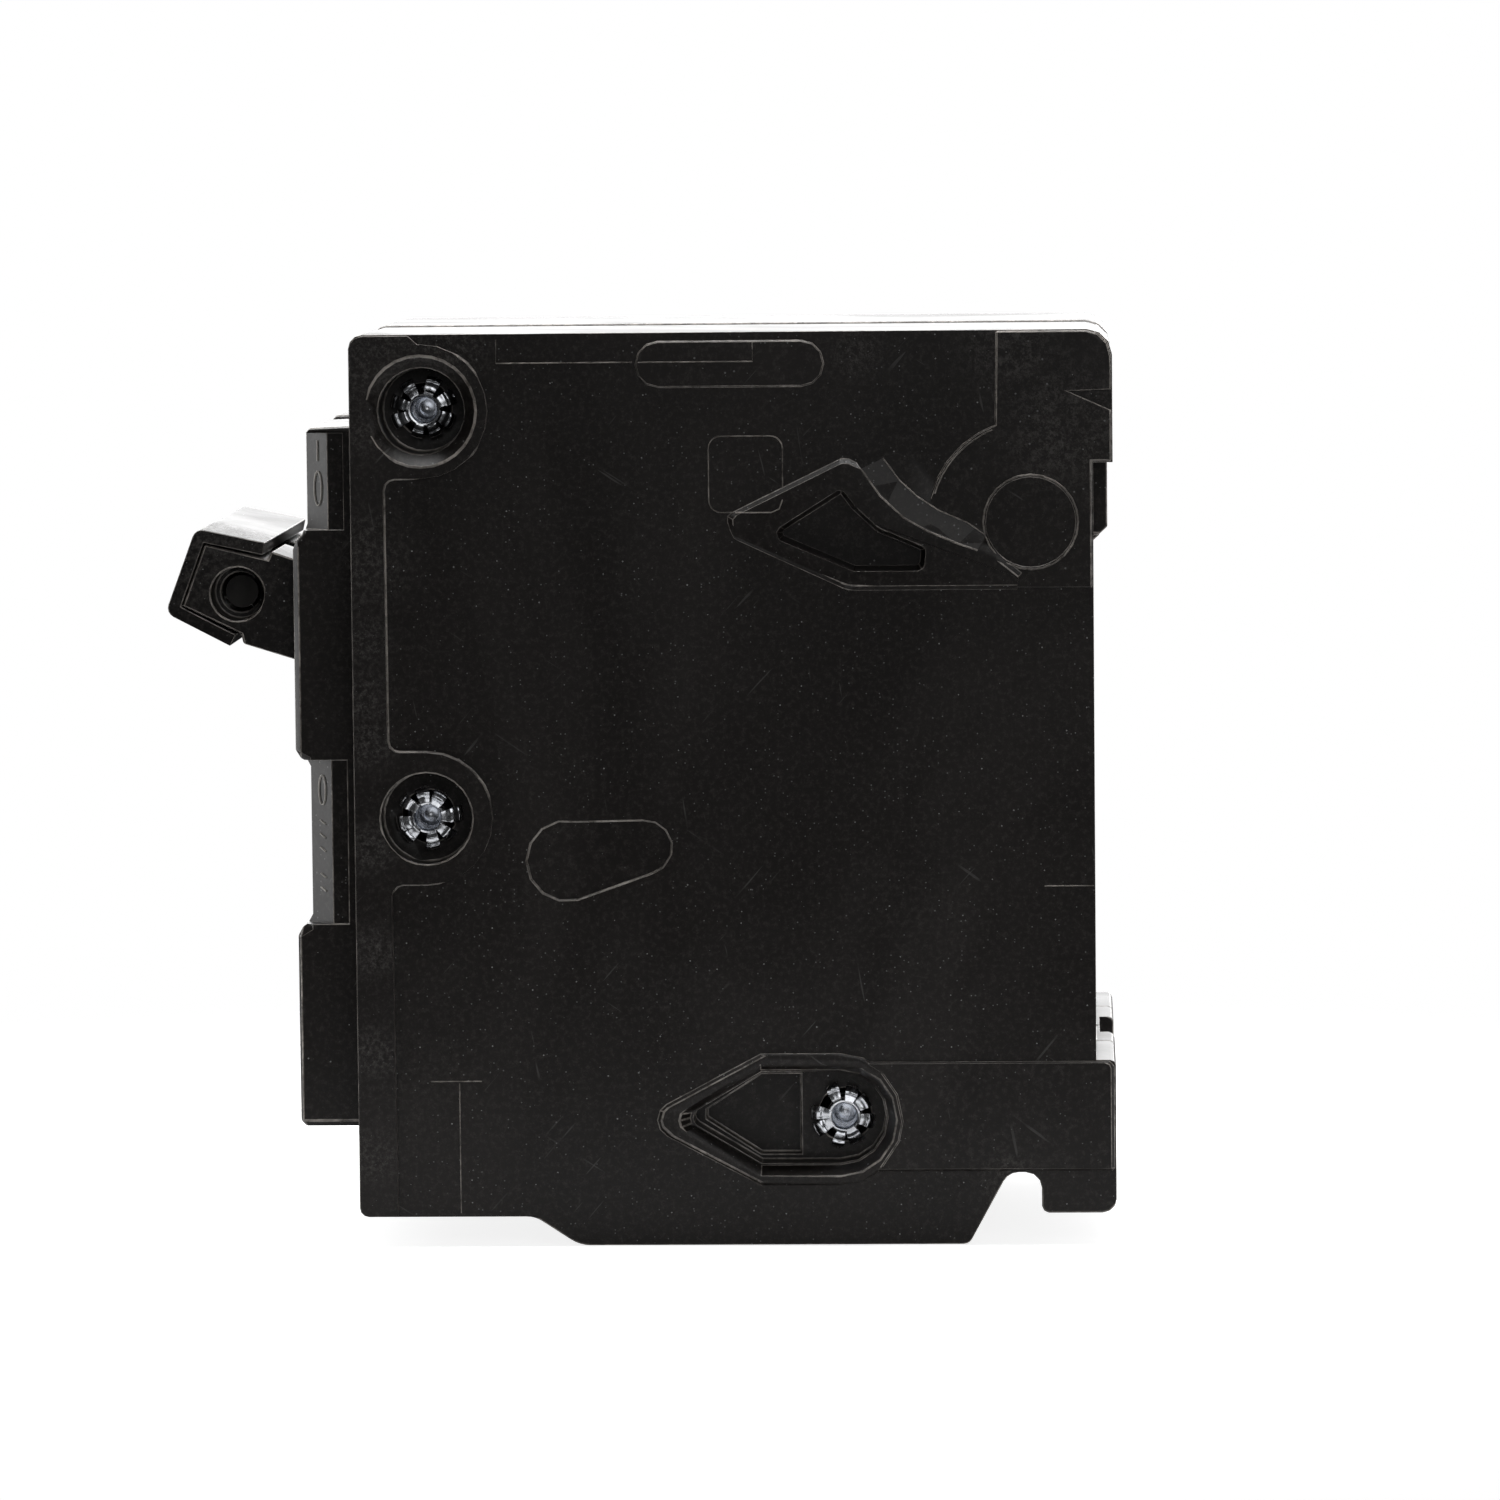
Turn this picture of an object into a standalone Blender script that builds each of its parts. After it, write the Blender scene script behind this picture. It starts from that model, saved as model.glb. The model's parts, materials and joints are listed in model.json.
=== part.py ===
"""Two-pole plug-in circuit breaker, built as separate pieces.

Run with: blender --background --python part.py
Frame: +Z up the breaker from its load end to its line end, -X out of its
front (handle) side, +X into the panel, Y across the poles. The origin is
under the middle of the body, in the plane that its load end rests on.
Lengths below are in millimetres: u runs back from the front deck, w runs up
from the resting plane, and z runs across the breaker from pole A's side.
"""
import math

import bmesh
import bpy
from mathutils import Matrix, Vector

MM = 0.001
NAME = "circuit_breaker"

# Driving dimensions: the case
POLES = ("a", "b")
POLE_PITCH = 25.4           # one-inch panel spacing
POLE_WIDTH = 25.1
BODY_HEIGHT = 79.5
BODY_DEPTH = 66.0
WAIST_DEPTH = 64.3          # back face between the foot and the line end
BLOCK_FRONT = -5.45         # escutcheon block's front face
SEAM = 14.0                 # cover's open edge, from the pole's own side
SEAM_GAP = 0.25
RIM_HEIGHT = 0.5            # raised rims stand this far off the side face
RIM_SLOPE = 0.36            # width of the rims' sloped sides
BASE_TOP_STEP = 0.14        # base shells end this much below the covers
WALL = 2.0
TOTAL_WIDTH = POLE_PITCH + POLE_WIDTH
POLE_MIDDLE = 12.6
U_MIDDLE = 24.63            # deck to the middle of the overall length
NUDGE = 0.002               # offset tried when a boolean meets grazing faces
NUDGES = 8
WELD = 0.001

# Driving dimensions: the foot, the rail notch and the bulge
DECK_BOTTOM = 2.55
FOOT_BOTTOM = 2.7
FOOT_TOP = 16.1
NOTCH_WALL = 59.5
NOTCH_TOP = 6.28
FOOT_NOTCH_U = 64.7
FOOT_A_END = 20.4           # pole A's foot stops here, across the breaker
FOOT_B_START = 6.1          # pole B's foot starts here, from pole B's side

# Driving dimensions: the escutcheon block and its label windows
BLOCK_NEAR = 4.2            # block's sides, from the pole's own side
BLOCK_FAR = 21.2
LABEL_STEP = -4.3           # block's front, over the label windows
LABEL_WINDOWS = {"upper": (62.4, 70.9), "lower": (27.9, 42.3)}
LABEL_RECESS = 0.2          # depth of the windows in the block's sides
LABEL_CHAMFER = 2.2         # leg of the sloping label faces

# Driving dimensions: relief around the jaw, as depths below the rims. The jaw
# boss slopes down towards the back: (top edge, foot of slope) pairs.
BOSS_TOP = 0.05
PANEL_TOP = 0.27
BOSS_SLOPE = (((44.3, 67.6), (46.2, 68.5)), ((45.9, 65.3), (47.6, 66.6)),
              ((47.9, 63.4), (49.1, 65.2)), ((50.0, 62.2), (50.9, 64.0)),
              ((52.6, 61.1), (53.4, 62.9)), ((54.3, 60.5), (55.2, 62.1)),
              ((56.3, 59.4), (56.7, 60.0)), ((57.8, 58.2), (58.1, 58.5)))

# Driving dimensions: rivets, from the side with the splayed ends
RIVETS = {
    "rivet_top": {"u": 6.22, "w": 72.85, "well": 3.73, "floor": 5.5},
    "rivet_front": {"u": 6.32, "w": 37.5, "well": 3.97, "floor": 2.6},
    "rivet_foot": {"u": 42.3, "w": 10.95, "well": 3.9, "floor": 4.2},
}
RIVET_RADIUS = 1.95
RIVET_HOLE = 2.3

# Driving dimensions: handle and contact mechanism
HANDLE_PIVOT = (3.0, 52.0)
HANDLE_DRUM = 8.4
TRUNNION_HOLE = 2.1         # radius
BEARING_RADIUS = 2.8
HANDLE_NEAR = 7.0           # handle's side faces, from the pole's side
HANDLE_FAR = 18.2
HANDLE_TIP = ((-14.2, 62.5), (-16.96, 55.1))
HANDLE_ROOT = ((-11.3, 52.15), (-8.1, 61.2))    # inner corners of the cap
CAP_THICKNESS = 1.1
CAP_GAP = 0.12
TIE_HOLE = (-10.6, 56.7)
ARM_PIVOT = (8.2, 50.1)
ARM_PEG = (27.0, 59.85)
CRADLE_PIVOT = (16.0, 41.0)
CRADLE_HOOK = (12.6, 53.4)
CRADLE_TIP = (41.0, 44.0)
CRADLE_Z = (18.5, 20.1)
SPRING_Z = 16.2
CONTACT_U = 38.2
ARMATURE_PIVOT = (44.6, 50.3)
TRIP_BAR = (40.2, 22.5)
TRIP_BAR_HOLE = 1.95        # radius
BAR_BOSS_RADIUS = 3.2
TERMINAL_W = 6.8            # terminal screw's axis
SCREW_TOP = 1.6             # outer face of the screw's head
WIRE_U = 9.5                # wire's axis


# ---------------------------------------------------------------- helpers

def place(u, w, z):
    """World position, in metres, of a point given in breaker millimetres."""
    return Vector((u - U_MIDDLE, z - TOTAL_WIDTH / 2, w)) * MM


def arc(centre, radius, start, end, steps):
    """Points along an arc, angles in degrees."""
    points = []
    for step in range(steps + 1):
        angle = math.radians(start + (end - start) * step / steps)
        points.append((centre[0] + radius * math.cos(angle),
                       centre[1] + radius * math.sin(angle)))
    return points


def rounded(corners, steps=2):
    """Outline through (u, w[, radius]) corners; large radii get more steps."""
    outline = []
    count = len(corners)
    for index, corner in enumerate(corners):
        here = Vector(corner[:2])
        radius = corner[2] if len(corner) > 2 else 0.0
        if radius == 0.0:
            outline.append(tuple(here))
            continue
        before = (Vector(corners[index - 1][:2]) - here).normalized()
        after = (Vector(corners[(index + 1) % count][:2]) - here).normalized()
        half = before.angle(after) / 2
        reach = radius / math.tan(half)
        centre = here + (before + after).normalized() * radius / math.sin(half)
        start = here + before * reach - centre
        end = here + after * reach - centre
        turn = start.angle_signed(end)
        pieces = steps + round(radius / 1.5)
        for step in range(pieces + 1):
            spun = start.copy()
            spun.rotate(Matrix.Rotation(-turn * step / pieces, 2))
            outline.append(tuple(centre + spun))
    return outline


def ribbon(path, thickness):
    """Outline of a strip of even thickness along a (u, w) path."""
    left = []
    right = []
    for index, point in enumerate(path):
        here = Vector(point)
        ahead = Vector(path[min(index + 1, len(path) - 1)]) - here
        behind = here - Vector(path[max(index - 1, 0)])
        tangents = [part.normalized() for part in (ahead, behind) if part.length > 0]
        tangent = sum(tangents, Vector((0, 0))).normalized()
        stretch = 1 / max(tangent.dot(tangents[0]), 0.5)
        normal = Vector((-tangent.y, tangent.x)) * thickness / 2 * stretch
        left.append(tuple(here + normal))
        right.append(tuple(here - normal))
    return left + right[::-1]


def inset(outline, distance):
    """Convex outline moved inwards by a distance."""
    moved = []
    count = len(outline)
    middle = sum((Vector(point) for point in outline), Vector((0, 0))) / count
    for index, point in enumerate(outline):
        here = Vector(point)
        before = (here - Vector(outline[index - 1])).normalized()
        after = (Vector(outline[(index + 1) % count]) - here).normalized()
        normals = []
        for edge in (before, after):
            normal = Vector((-edge.y, edge.x))
            if normal.dot(middle - here) < 0:
                normal = -normal
            normals.append(normal)
        mean = (normals[0] + normals[1]).normalized()
        moved.append(tuple(here + mean * distance / max(mean.dot(normals[0]), 0.3)))
    return moved


def add_mesh(name, mesh_data, material, collection):
    """New object for a mesh, in a collection, with one material."""
    item = bpy.data.objects.new(name, mesh_data)
    collection.objects.link(item)
    if material:
        item.data.materials.clear()
        item.data.materials.append(material)
    return item


def as_tool(item):
    """Mark an object as a cutter or a shape to join."""
    item.hide_render = True
    item.display_type = "WIRE"
    return item


def prism(name, outline, z_low, z_high, material=None, holes=(), bevel=0.0):
    """Flat outline in (u, w), extruded across the breaker."""
    data = bpy.data.curves.new(name + "_outline", "CURVE")
    data.dimensions = "2D"
    data.fill_mode = "BOTH"
    data.extrude = (z_high - z_low) / 2 * MM
    for loop in (outline, *holes):
        spline = data.splines.new("POLY")
        spline.points.add(len(loop) - 1)
        for point, (u, w) in zip(spline.points, loop):
            point.co = (u * MM, w * MM, 0, 1)
        spline.use_cyclic_u = True
    sketch = bpy.data.objects.new(name + "_sketch", data)
    bpy.context.scene.collection.objects.link(sketch)
    sketch.location = place(0, 0, (z_low + z_high) / 2)
    sketch.rotation_euler = (math.radians(90), 0, 0)
    return solid_from(sketch, name, material, bevel)


def solid_from(sketch, name, material=None, bevel=0.0):
    """Closed mesh object made from a curve object, which is then removed."""
    bpy.context.view_layer.update()
    evaluated = sketch.evaluated_get(bpy.context.evaluated_depsgraph_get())
    mesh_data = bpy.data.meshes.new_from_object(evaluated)
    mesh_data.transform(sketch.matrix_world)
    welded = bmesh.new()
    welded.from_mesh(mesh_data)
    bmesh.ops.remove_doubles(welded, verts=welded.verts, dist=1e-6)
    bmesh.ops.recalc_face_normals(welded, faces=welded.faces)
    welded.to_mesh(mesh_data)
    welded.free()
    mesh_data.name = name
    curve = sketch.data
    bpy.data.objects.remove(sketch)
    bpy.data.curves.remove(curve)
    item = add_mesh(name, mesh_data, material, PARTS if material else TOOLS)
    if not material:
        as_tool(item)
    if bevel:
        soften(item, bevel)
    return item


def soften(item, width, segments=1, angle=40):
    """Bevel the sharp edges of an object."""
    modifier = item.modifiers.new("edges", "BEVEL")
    modifier.width = width * MM
    modifier.segments = segments
    modifier.limit_method = "ANGLE"
    modifier.angle_limit = math.radians(angle)


def box(name, u, w, z, material=None):
    """Box between (low, high) pairs of u, w and z."""
    mesh_data = bpy.data.meshes.new(name)
    work = bmesh.new()
    bmesh.ops.create_cube(work, size=1.0)
    low = place(u[0], w[0], z[0])
    high = place(u[1], w[1], z[1])
    span = high - low
    bmesh.ops.scale(work, vec=span, verts=work.verts)
    bmesh.ops.translate(work, vec=(low + high) / 2, verts=work.verts)
    work.to_mesh(mesh_data)
    work.free()
    item = add_mesh(name, mesh_data, material, PARTS if material else TOOLS)
    return item if material else as_tool(item)


def cylinder(name, start, end, radius, sides=24, material=None, end_radius=None):
    """Cylinder or cone between two (u, w, z) points."""
    mesh_data = bpy.data.meshes.new(name)
    work = bmesh.new()
    bottom = place(*start)
    top = place(*end)
    axis = top - bottom
    far = radius if end_radius is None else end_radius
    bmesh.ops.create_cone(work, cap_ends=True, segments=sides, radius1=radius * MM,
                          radius2=far * MM, depth=axis.length)
    turn = axis.to_track_quat("Z", "Y").to_matrix().to_4x4()
    bmesh.ops.transform(work, matrix=Matrix.Translation((bottom + top) / 2) @ turn,
                        verts=work.verts)
    work.to_mesh(mesh_data)
    work.free()
    item = add_mesh(name, mesh_data, material, PARTS if material else TOOLS)
    return item if material else as_tool(item)


def loft(name, outline_low, z_low, outline_high, z_high):
    """Solid between two outlines with the same number of points."""
    mesh_data = bpy.data.meshes.new(name)
    work = bmesh.new()
    rings = []
    for outline, z in ((outline_low, z_low), (outline_high, z_high)):
        ring = [work.verts.new(place(u, w, z)) for u, w in outline]
        work.faces.new(ring)
        rings.append(ring)
    count = len(outline_low)
    for index in range(count):
        after = (index + 1) % count
        work.faces.new((rings[0][index], rings[0][after],
                        rings[1][after], rings[1][index]))
    bmesh.ops.recalc_face_normals(work, faces=work.faces)
    bmesh.ops.triangulate(work, faces=work.faces)
    work.to_mesh(mesh_data)
    work.free()
    return as_tool(add_mesh(name, mesh_data, None, TOOLS))


def volume_of(mesh_data):
    """Volume of a closed mesh in cubic millimetres, or None if it is open."""
    work = bmesh.new()
    work.from_mesh(mesh_data)
    closed = all(edge.is_manifold for edge in work.edges)
    volume = work.calc_volume(signed=True) / MM ** 3
    work.free()
    return volume if closed else None


def flattened(item):
    """Mesh of an object with its modifiers applied and its slivers welded."""
    bpy.context.view_layer.update()
    evaluated = item.evaluated_get(bpy.context.evaluated_depsgraph_get())
    mesh_data = bpy.data.meshes.new_from_object(evaluated)
    work = bmesh.new()
    work.from_mesh(mesh_data)
    bmesh.ops.remove_doubles(work, verts=work.verts, dist=WELD * MM)
    bmesh.ops.dissolve_degenerate(work, edges=work.edges, dist=WELD * MM)
    work.to_mesh(mesh_data)
    work.free()
    return mesh_data


def replace_mesh(item, mesh_data):
    """Give an object a new mesh and drop its modifiers."""
    old = item.data
    item.modifiers.clear()
    item.data = mesh_data
    mesh_data.name = item.name
    bpy.data.meshes.remove(old)


def combine(target, tools, operation):
    """Apply booleans; a tool whose faces graze the piece is nudged slightly."""
    replace_mesh(target, flattened(target))
    for tool in tools:
        replace_mesh(tool, flattened(tool))
        before = volume_of(target.data)
        most = volume_of(tool.data)
        sign = 1 if operation == "UNION" else -1
        home = tool.location.copy()
        for attempt in range(NUDGES):
            tool.location = home + Vector((1.0, 0.7, -0.4)) * attempt * NUDGE * MM
            modifier = target.modifiers.new("shape", "BOOLEAN")
            modifier.operation = operation
            modifier.solver = "EXACT"
            modifier.object = tool
            result = flattened(target)
            target.modifiers.clear()
            after = volume_of(result)
            if after and -0.01 <= (after - before) * sign <= most + 0.01:
                break
            bpy.data.meshes.remove(result)
        else:
            raise RuntimeError(f"{tool.name} does not combine with {target.name}")
        replace_mesh(target, result)
        spent = tool.data
        bpy.data.objects.remove(tool)
        bpy.data.meshes.remove(spent)
    return target


def cut(target, *tools):
    """Take the tools away from a piece."""
    return combine(target, tools, "DIFFERENCE")


def join(target, *tools):
    """Add the tools to a piece."""
    return combine(target, tools, "UNION")


def surface(name, color, roughness, metallic):
    """Principled material."""
    material = bpy.data.materials.new(name)
    material.use_nodes = True
    shader = material.node_tree.nodes["Principled BSDF"]
    shader.inputs["Base Color"].default_value = (*color, 1)
    shader.inputs["Roughness"].default_value = roughness
    shader.inputs["Metallic"].default_value = metallic
    return material


def pivot(name, u, w, z=TOTAL_WIDTH / 2):
    """Empty on a joint's axis."""
    empty = bpy.data.objects.new(name, None)
    empty.empty_display_size = 4 * MM
    empty.location = place(u, w, z)
    PARTS.objects.link(empty)
    return empty


def hang(parent, *items):
    """Parent pieces to an empty without moving them."""
    bpy.context.view_layer.update()
    for item in items:
        item.parent = parent
        item.matrix_parent_inverse = parent.matrix_world.inverted()


# ---------------------------------------------------------------- outlines

def case_outline(base_shell):
    """Side outline of a shell; a base shell is deeper beside the jaw slot."""
    lip = [(WAIST_DEPTH, 68.0)]
    top = BODY_HEIGHT
    if base_shell:
        lip = [(65.6, 68.0), (65.6, 61.6), (WAIST_DEPTH, 60.4)]
        top = BODY_HEIGHT - BASE_TOP_STEP
    return rounded([
        (0, top, 1.2), (BODY_DEPTH, top, 2.2), (BODY_DEPTH, 68.0),
        *lip,
        (WAIST_DEPTH, FOOT_TOP), (BODY_DEPTH, FOOT_TOP, 0.5),
        (BODY_DEPTH, FOOT_BOTTOM, 1.2), (NOTCH_WALL, FOOT_BOTTOM, 0.6),
        (NOTCH_WALL, NOTCH_TOP, 1.4), (56.6, NOTCH_TOP, 1.5), (53.15, 0, 0.8),
        (19.2, 0, 3.2), (15.3, DECK_BOTTOM, 2.4), (0, DECK_BOTTOM, 0.8)])


def cavity_outline():
    """Hollow of a shell: mechanism chamber, barrier and terminal chamber."""
    return rounded([
        (12.0, 77.1, 1.0), (62.4, 77.1, 1.0), (62.4, 16.6, 1.0), (16.4, 16.6),
        (16.4, 3.7, 1.0), (2.3, 3.7), (2.3, 13.6), (10.4, 13.6), (10.4, 15.6),
        (2.3, 15.6), (2.3, 31.8), (12.0, 31.8, 5.0), (12.0, 43.2, 5.0),
        (2.3, 43.2), (2.3, 67.0), (12.0, 67.0, 3.0)])


def block_outline():
    """Side outline of the escutcheon block, with its two label steps."""
    return [(1.0, 71.5), (LABEL_STEP, 71.3), (LABEL_STEP, 62.4), (BLOCK_FRONT, 61.2),
            (BLOCK_FRONT, 42.7), (LABEL_STEP, 42.1), (LABEL_STEP, 28.1),
            (BLOCK_FRONT, 27.4), (BLOCK_FRONT, 10.06), (1.0, 10.06)]


def teardrop(tip, half_height, nose, end_radius):
    """Pointed outline of the foot rivet's pocket and of its rim."""
    middle_u = 42.0
    middle_w = 11.0
    shoulder = middle_u - 6.9
    return (rounded([(shoulder, middle_w - half_height), (tip, middle_w, nose),
                     (shoulder, middle_w + half_height)], 3)
            + arc((middle_u, middle_w), end_radius, 90, -90, 8))


def panel_outline():
    """Outline of the low raised panel around the line-end dimple."""
    return (rounded([(56.0, 79.38), (65.88, 79.38, 2.1), (65.88, 68.12),
                     (64.18, 68.12), (64.18, 57.2), (50.4, 57.2)])
            + arc((58.9, 62.9), 8.93, 165.8, 109.7, 5))


def boss_outlines(depth):
    """Outlines of the jaw boss's top and of its section at a depth."""
    share = (depth - BOSS_TOP) / (PANEL_TOP - BOSS_TOP)
    steep = (depth - BOSS_TOP) / (RIM_HEIGHT - BOSS_TOP)
    slope = [tuple(Vector(top).lerp(Vector(foot), share)) for top, foot in BOSS_SLOPE]
    top = rounded([(57.7, 57.5), (43.1, 57.5, 3.0), (33.65, 61.85, 0.6),
                   (32.95, 63.4, 0.6), (43.05, 68.3, 1.2)])
    grow = 0.42 * steep
    low = rounded([(57.7, 57.5 - grow), (43.1, 57.5 - grow, 3.0),
                   (33.65 - grow, 61.85 - grow / 2, 0.6),
                   (32.95 - grow, 63.4 + grow / 2, 0.6), (43.05, 68.3 + grow, 1.2)])
    return top + [pair[0] for pair in BOSS_SLOPE], low + slope


# ---------------------------------------------------------------- the shells

def side_relief(tag, z):
    """Raised rims and bosses on a cover's side face."""
    sunk = z + 1.2
    strip = rounded([
        (0.12, 79.38, 1.1), (5.2, 79.38), (6.0, 78.65), (12.02, 78.65, 5.79),
        (12.02, 67.05, 5.79), (2.9, 67.05, 1.0), (3.0, 43.25, 1.0),
        (12.07, 43.25, 5.74), (12.07, 31.75, 5.74), (3.2, 31.75, 1.0),
        (3.4, 2.67), (0.12, 2.67, 0.7)])
    foot = rounded([(43.0, 16.0), (65.85, 16.0, 0.5), (65.85, 6.4), (43.0, 6.4)])
    pad = rounded([(24.85, 78.75, 1.95), (41.15, 78.75, 1.95), (41.15, 74.75, 1.95),
                   (24.85, 74.75, 1.95)])
    rim = teardrop(24.3, 5.75, 1.6, 5.75)
    boss_depth = 0.75
    boss_top, boss_foot = boss_outlines(boss_depth)
    return [
        prism("strip_rim_" + tag, strip, z, sunk, bevel=RIM_SLOPE),
        prism("pocket_rim_" + tag, rim, z, sunk, bevel=RIM_SLOPE),
        prism("foot_band_" + tag, foot, z + 0.1, sunk + 0.1, bevel=0.25),
        prism("line_panel_" + tag, panel_outline(), z + PANEL_TOP, sunk, bevel=0.15),
        loft("jaw_boss_" + tag, boss_top, z + BOSS_TOP, boss_foot, z + boss_depth),
        prism("vent_pad_" + tag, pad, z + 0.25, sunk + 0.2, bevel=0.1),
    ]


def side_recesses(tag, z):
    """Wells, pockets and shallow recesses in a cover's side face."""
    above = z - 0.3
    tools = []
    for name, rivet in RIVETS.items():
        if name == "rivet_foot":
            continue
        centre = (rivet["u"], rivet["w"])
        tools.append(cylinder(f"{name}_well_{tag}", (*centre, above),
                              (*centre, z + rivet["floor"]), rivet["well"], 28))
    top = RIVETS["rivet_top"]
    tools.append(cylinder("rivet_top_bevel_" + tag, (top["u"], top["w"], above),
                          (top["u"], top["w"], z + 1.1), 5.1, 28,
                          end_radius=top["well"] - 0.05))
    floor = RIVETS["rivet_foot"]["floor"]
    lip = teardrop(26.9, 4.95, 1.2, 4.95)
    ledge = teardrop(28.0, 4.2, 0.9, 4.2)
    well = teardrop(28.4, 4.0, 0.8, 4.0)
    tools.append(loft("pocket_lip_" + tag, lip, above + 0.2, ledge, z + 1.8))
    tools.append(prism("pocket_well_" + tag, well, z + 1.0, z + floor))
    deep = [(38.5, 7.5), (38.5, 14.5), (35.0, 14.5), (30.2, 11.4), (30.2, 10.6), (35.0, 7.5)]
    tools.append(prism("pocket_deep_" + tag, deep, z + 2, z + floor + 1.3))
    eye = [(36.5, 62.2, 0.7), (42.6, 66.0, 0.5), (43.8, 64.4, 2.0),
           (45.8, 62.5, 2.0), (49.9, 60.8, 0.6), (49.7, 58.7, 0.7),
           (43.6, 58.7, 0.5), (37.3, 61.4, 0.5)]
    mouth = rounded(eye, 2)
    floor_outline = inset(mouth, 0.45)
    tools.append(loft("eye_pocket_" + tag, mouth, above + 0.2, floor_outline, z + 1.8))
    tools.append(cylinder("jaw_dimple_" + tag, (58.9, 62.9, above),
                          (58.9, 62.9, z + 0.4), 3.9, 32))
    tools.append(prism("back_wedge_" + tag, [(62.0, 74.2), (66.5, 74.35), (66.5, 72.2)],
                       above, z + 0.5))
    pear = (arc((18.45, 33.7), 3.52, 75, 285, 8) + arc((25.25, 34.85), 2.35, -75, 95, 6))
    tools.append(prism("pear_recess_" + tag, pear, above, z + RIM_HEIGHT + 0.3))
    return tools


def shared_openings(tag, z, low, high):
    """Handle aperture, jaw slot, screw access, wire entry and coring."""
    middle = z + POLE_MIDDLE
    return [
        box("aperture_" + tag, (-8, 4.5), (43.1, 60.9), (max(low, z + 6.6), min(high, z + 18.6))),
        box("jaw_slot_" + tag, (61.0, 68), (61.0, 73.0),
            (max(low, z + 10.0), min(high, z + 15.2))),
        cylinder("screw_access_" + tag, (-1, TERMINAL_W, middle),
                 (3, TERMINAL_W, middle), 3.2, 24),
        cylinder("wire_entry_" + tag, (WIRE_U, 1, middle), (WIRE_U, 4.2, middle), 3.2, 24),
        box("block_core_" + tag, (-3.4, 3.0), (16.4, 31.0),
            (max(low, z + 6.4), min(high, z + 18.8))),
        box("front_core_" + tag, (20.5, 27.0), (2.6, 14.2),
            (max(low, z + 3.2), min(high, z + 22.6))),
        box("foot_core_" + tag, (48.8, 54.8), (8.0, 14.2),
            (max(low, z + 3.2), min(high, z + 22.6))),
    ]


def rivet_holes(tag, low, high):
    """Clear holes for the three rivets."""
    return [cylinder(f"{name}_hole_{tag}", (rivet["u"], rivet["w"], low),
                     (rivet["u"], rivet["w"], high), RIVET_HOLE, 20)
            for name, rivet in RIVETS.items()]


def label_steps(tag, z, near):
    """Chamfered, sunk label windows on one side of the escutcheon block."""
    side = z + (BLOCK_NEAR if near else BLOCK_FAR)
    out = -1 if near else 1
    tools = []
    for name, (low, high) in LABEL_WINDOWS.items():
        ends = sorted((side + out, side - out * LABEL_RECESS))
        tools.append(box(f"{name}_window_{tag}", (-8, -0.9), (low, high), ends))
        tools.append(chamfer(f"{name}_chamfer_{tag}", side, out, low, high))
    return tools


def chamfer(name, side, out, low, high):
    """Wedge that chamfers the block's front edge over a label window."""
    mesh_data = bpy.data.meshes.new(name)
    work = bmesh.new()
    size = 6.0
    half = LABEL_CHAMFER / 2
    reach = size / 2 * math.sqrt(0.5)
    bmesh.ops.create_cube(work, size=1.0)
    bmesh.ops.scale(work, vec=(size * MM, size * MM, (high - low) * MM), verts=work.verts)
    turn = Matrix.Rotation(math.radians(45), 4, "Z")
    middle = place(LABEL_STEP + half - reach, (low + high) / 2, side + out * (reach - half))
    bmesh.ops.transform(work, matrix=Matrix.Translation(middle) @ turn, verts=work.verts)
    work.to_mesh(mesh_data)
    work.free()
    return as_tool(add_mesh(name, mesh_data, None, TOOLS))


def make_cover(pole, z, material):
    """Cover shell: the pole's own side face, its rims and half its front."""
    tag = "cover_" + pole
    outer = pole == "a"
    face = z + RIM_HEIGHT if outer else z
    seam = z + SEAM
    beyond = seam + 2
    shell = prism(tag, case_outline(False), face, beyond, material)
    block = prism("block_" + tag, block_outline(), z + BLOCK_NEAR, beyond - 0.6, bevel=0.5)
    bearing = cylinder("handle_bearing_" + tag, (*HANDLE_PIVOT, z + 2.1),
                       (*HANDLE_PIVOT, z + 6.4), BEARING_RADIUS)
    bar_boss = cylinder("bar_boss_" + tag, (*TRIP_BAR, z + 1.9), (*TRIP_BAR, z + 4.6),
                        BAR_BOSS_RADIUS)
    join(shell, block)
    if outer:
        join(shell, *side_relief(tag, z))
    cut(shell, prism("cavity_" + tag, cavity_outline(), z + RIM_HEIGHT + WALL, beyond + 1))
    join(shell, bearing, bar_boss)
    if outer:
        cut(shell, *side_recesses(tag, z))
    cut(shell, *label_steps(tag, z, True))
    cut(shell, *shared_openings(tag, z, z, beyond + 1))
    cut(shell, *rivet_holes(tag, z - 1, beyond + 1))
    bar_hole = z + 2.7 if outer else z - 1
    cut(shell, cylinder("trunnion_hole_" + tag, (*HANDLE_PIVOT, z + 3.7),
                        (*HANDLE_PIVOT, z + 7.5), TRUNNION_HOLE, 20),
        cylinder("bar_hole_" + tag, (*TRIP_BAR, bar_hole), (*TRIP_BAR, z + 6),
                 TRIP_BAR_HOLE, 20))
    if not outer:
        cut(shell, box("foot_notch_" + tag, (FOOT_NOTCH_U, 68), (0, FOOT_TOP + 0.5),
                       (z - 1, z + FOOT_B_START)))
    return cut(shell, seam_trim(tag, seam, beyond + 2))


def seam_trim(tag, low, high):
    """Slab that trims a shell flat at its seam."""
    return box("seam_trim_" + tag, (-20, 80), (-10, 90), (low, high))


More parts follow.
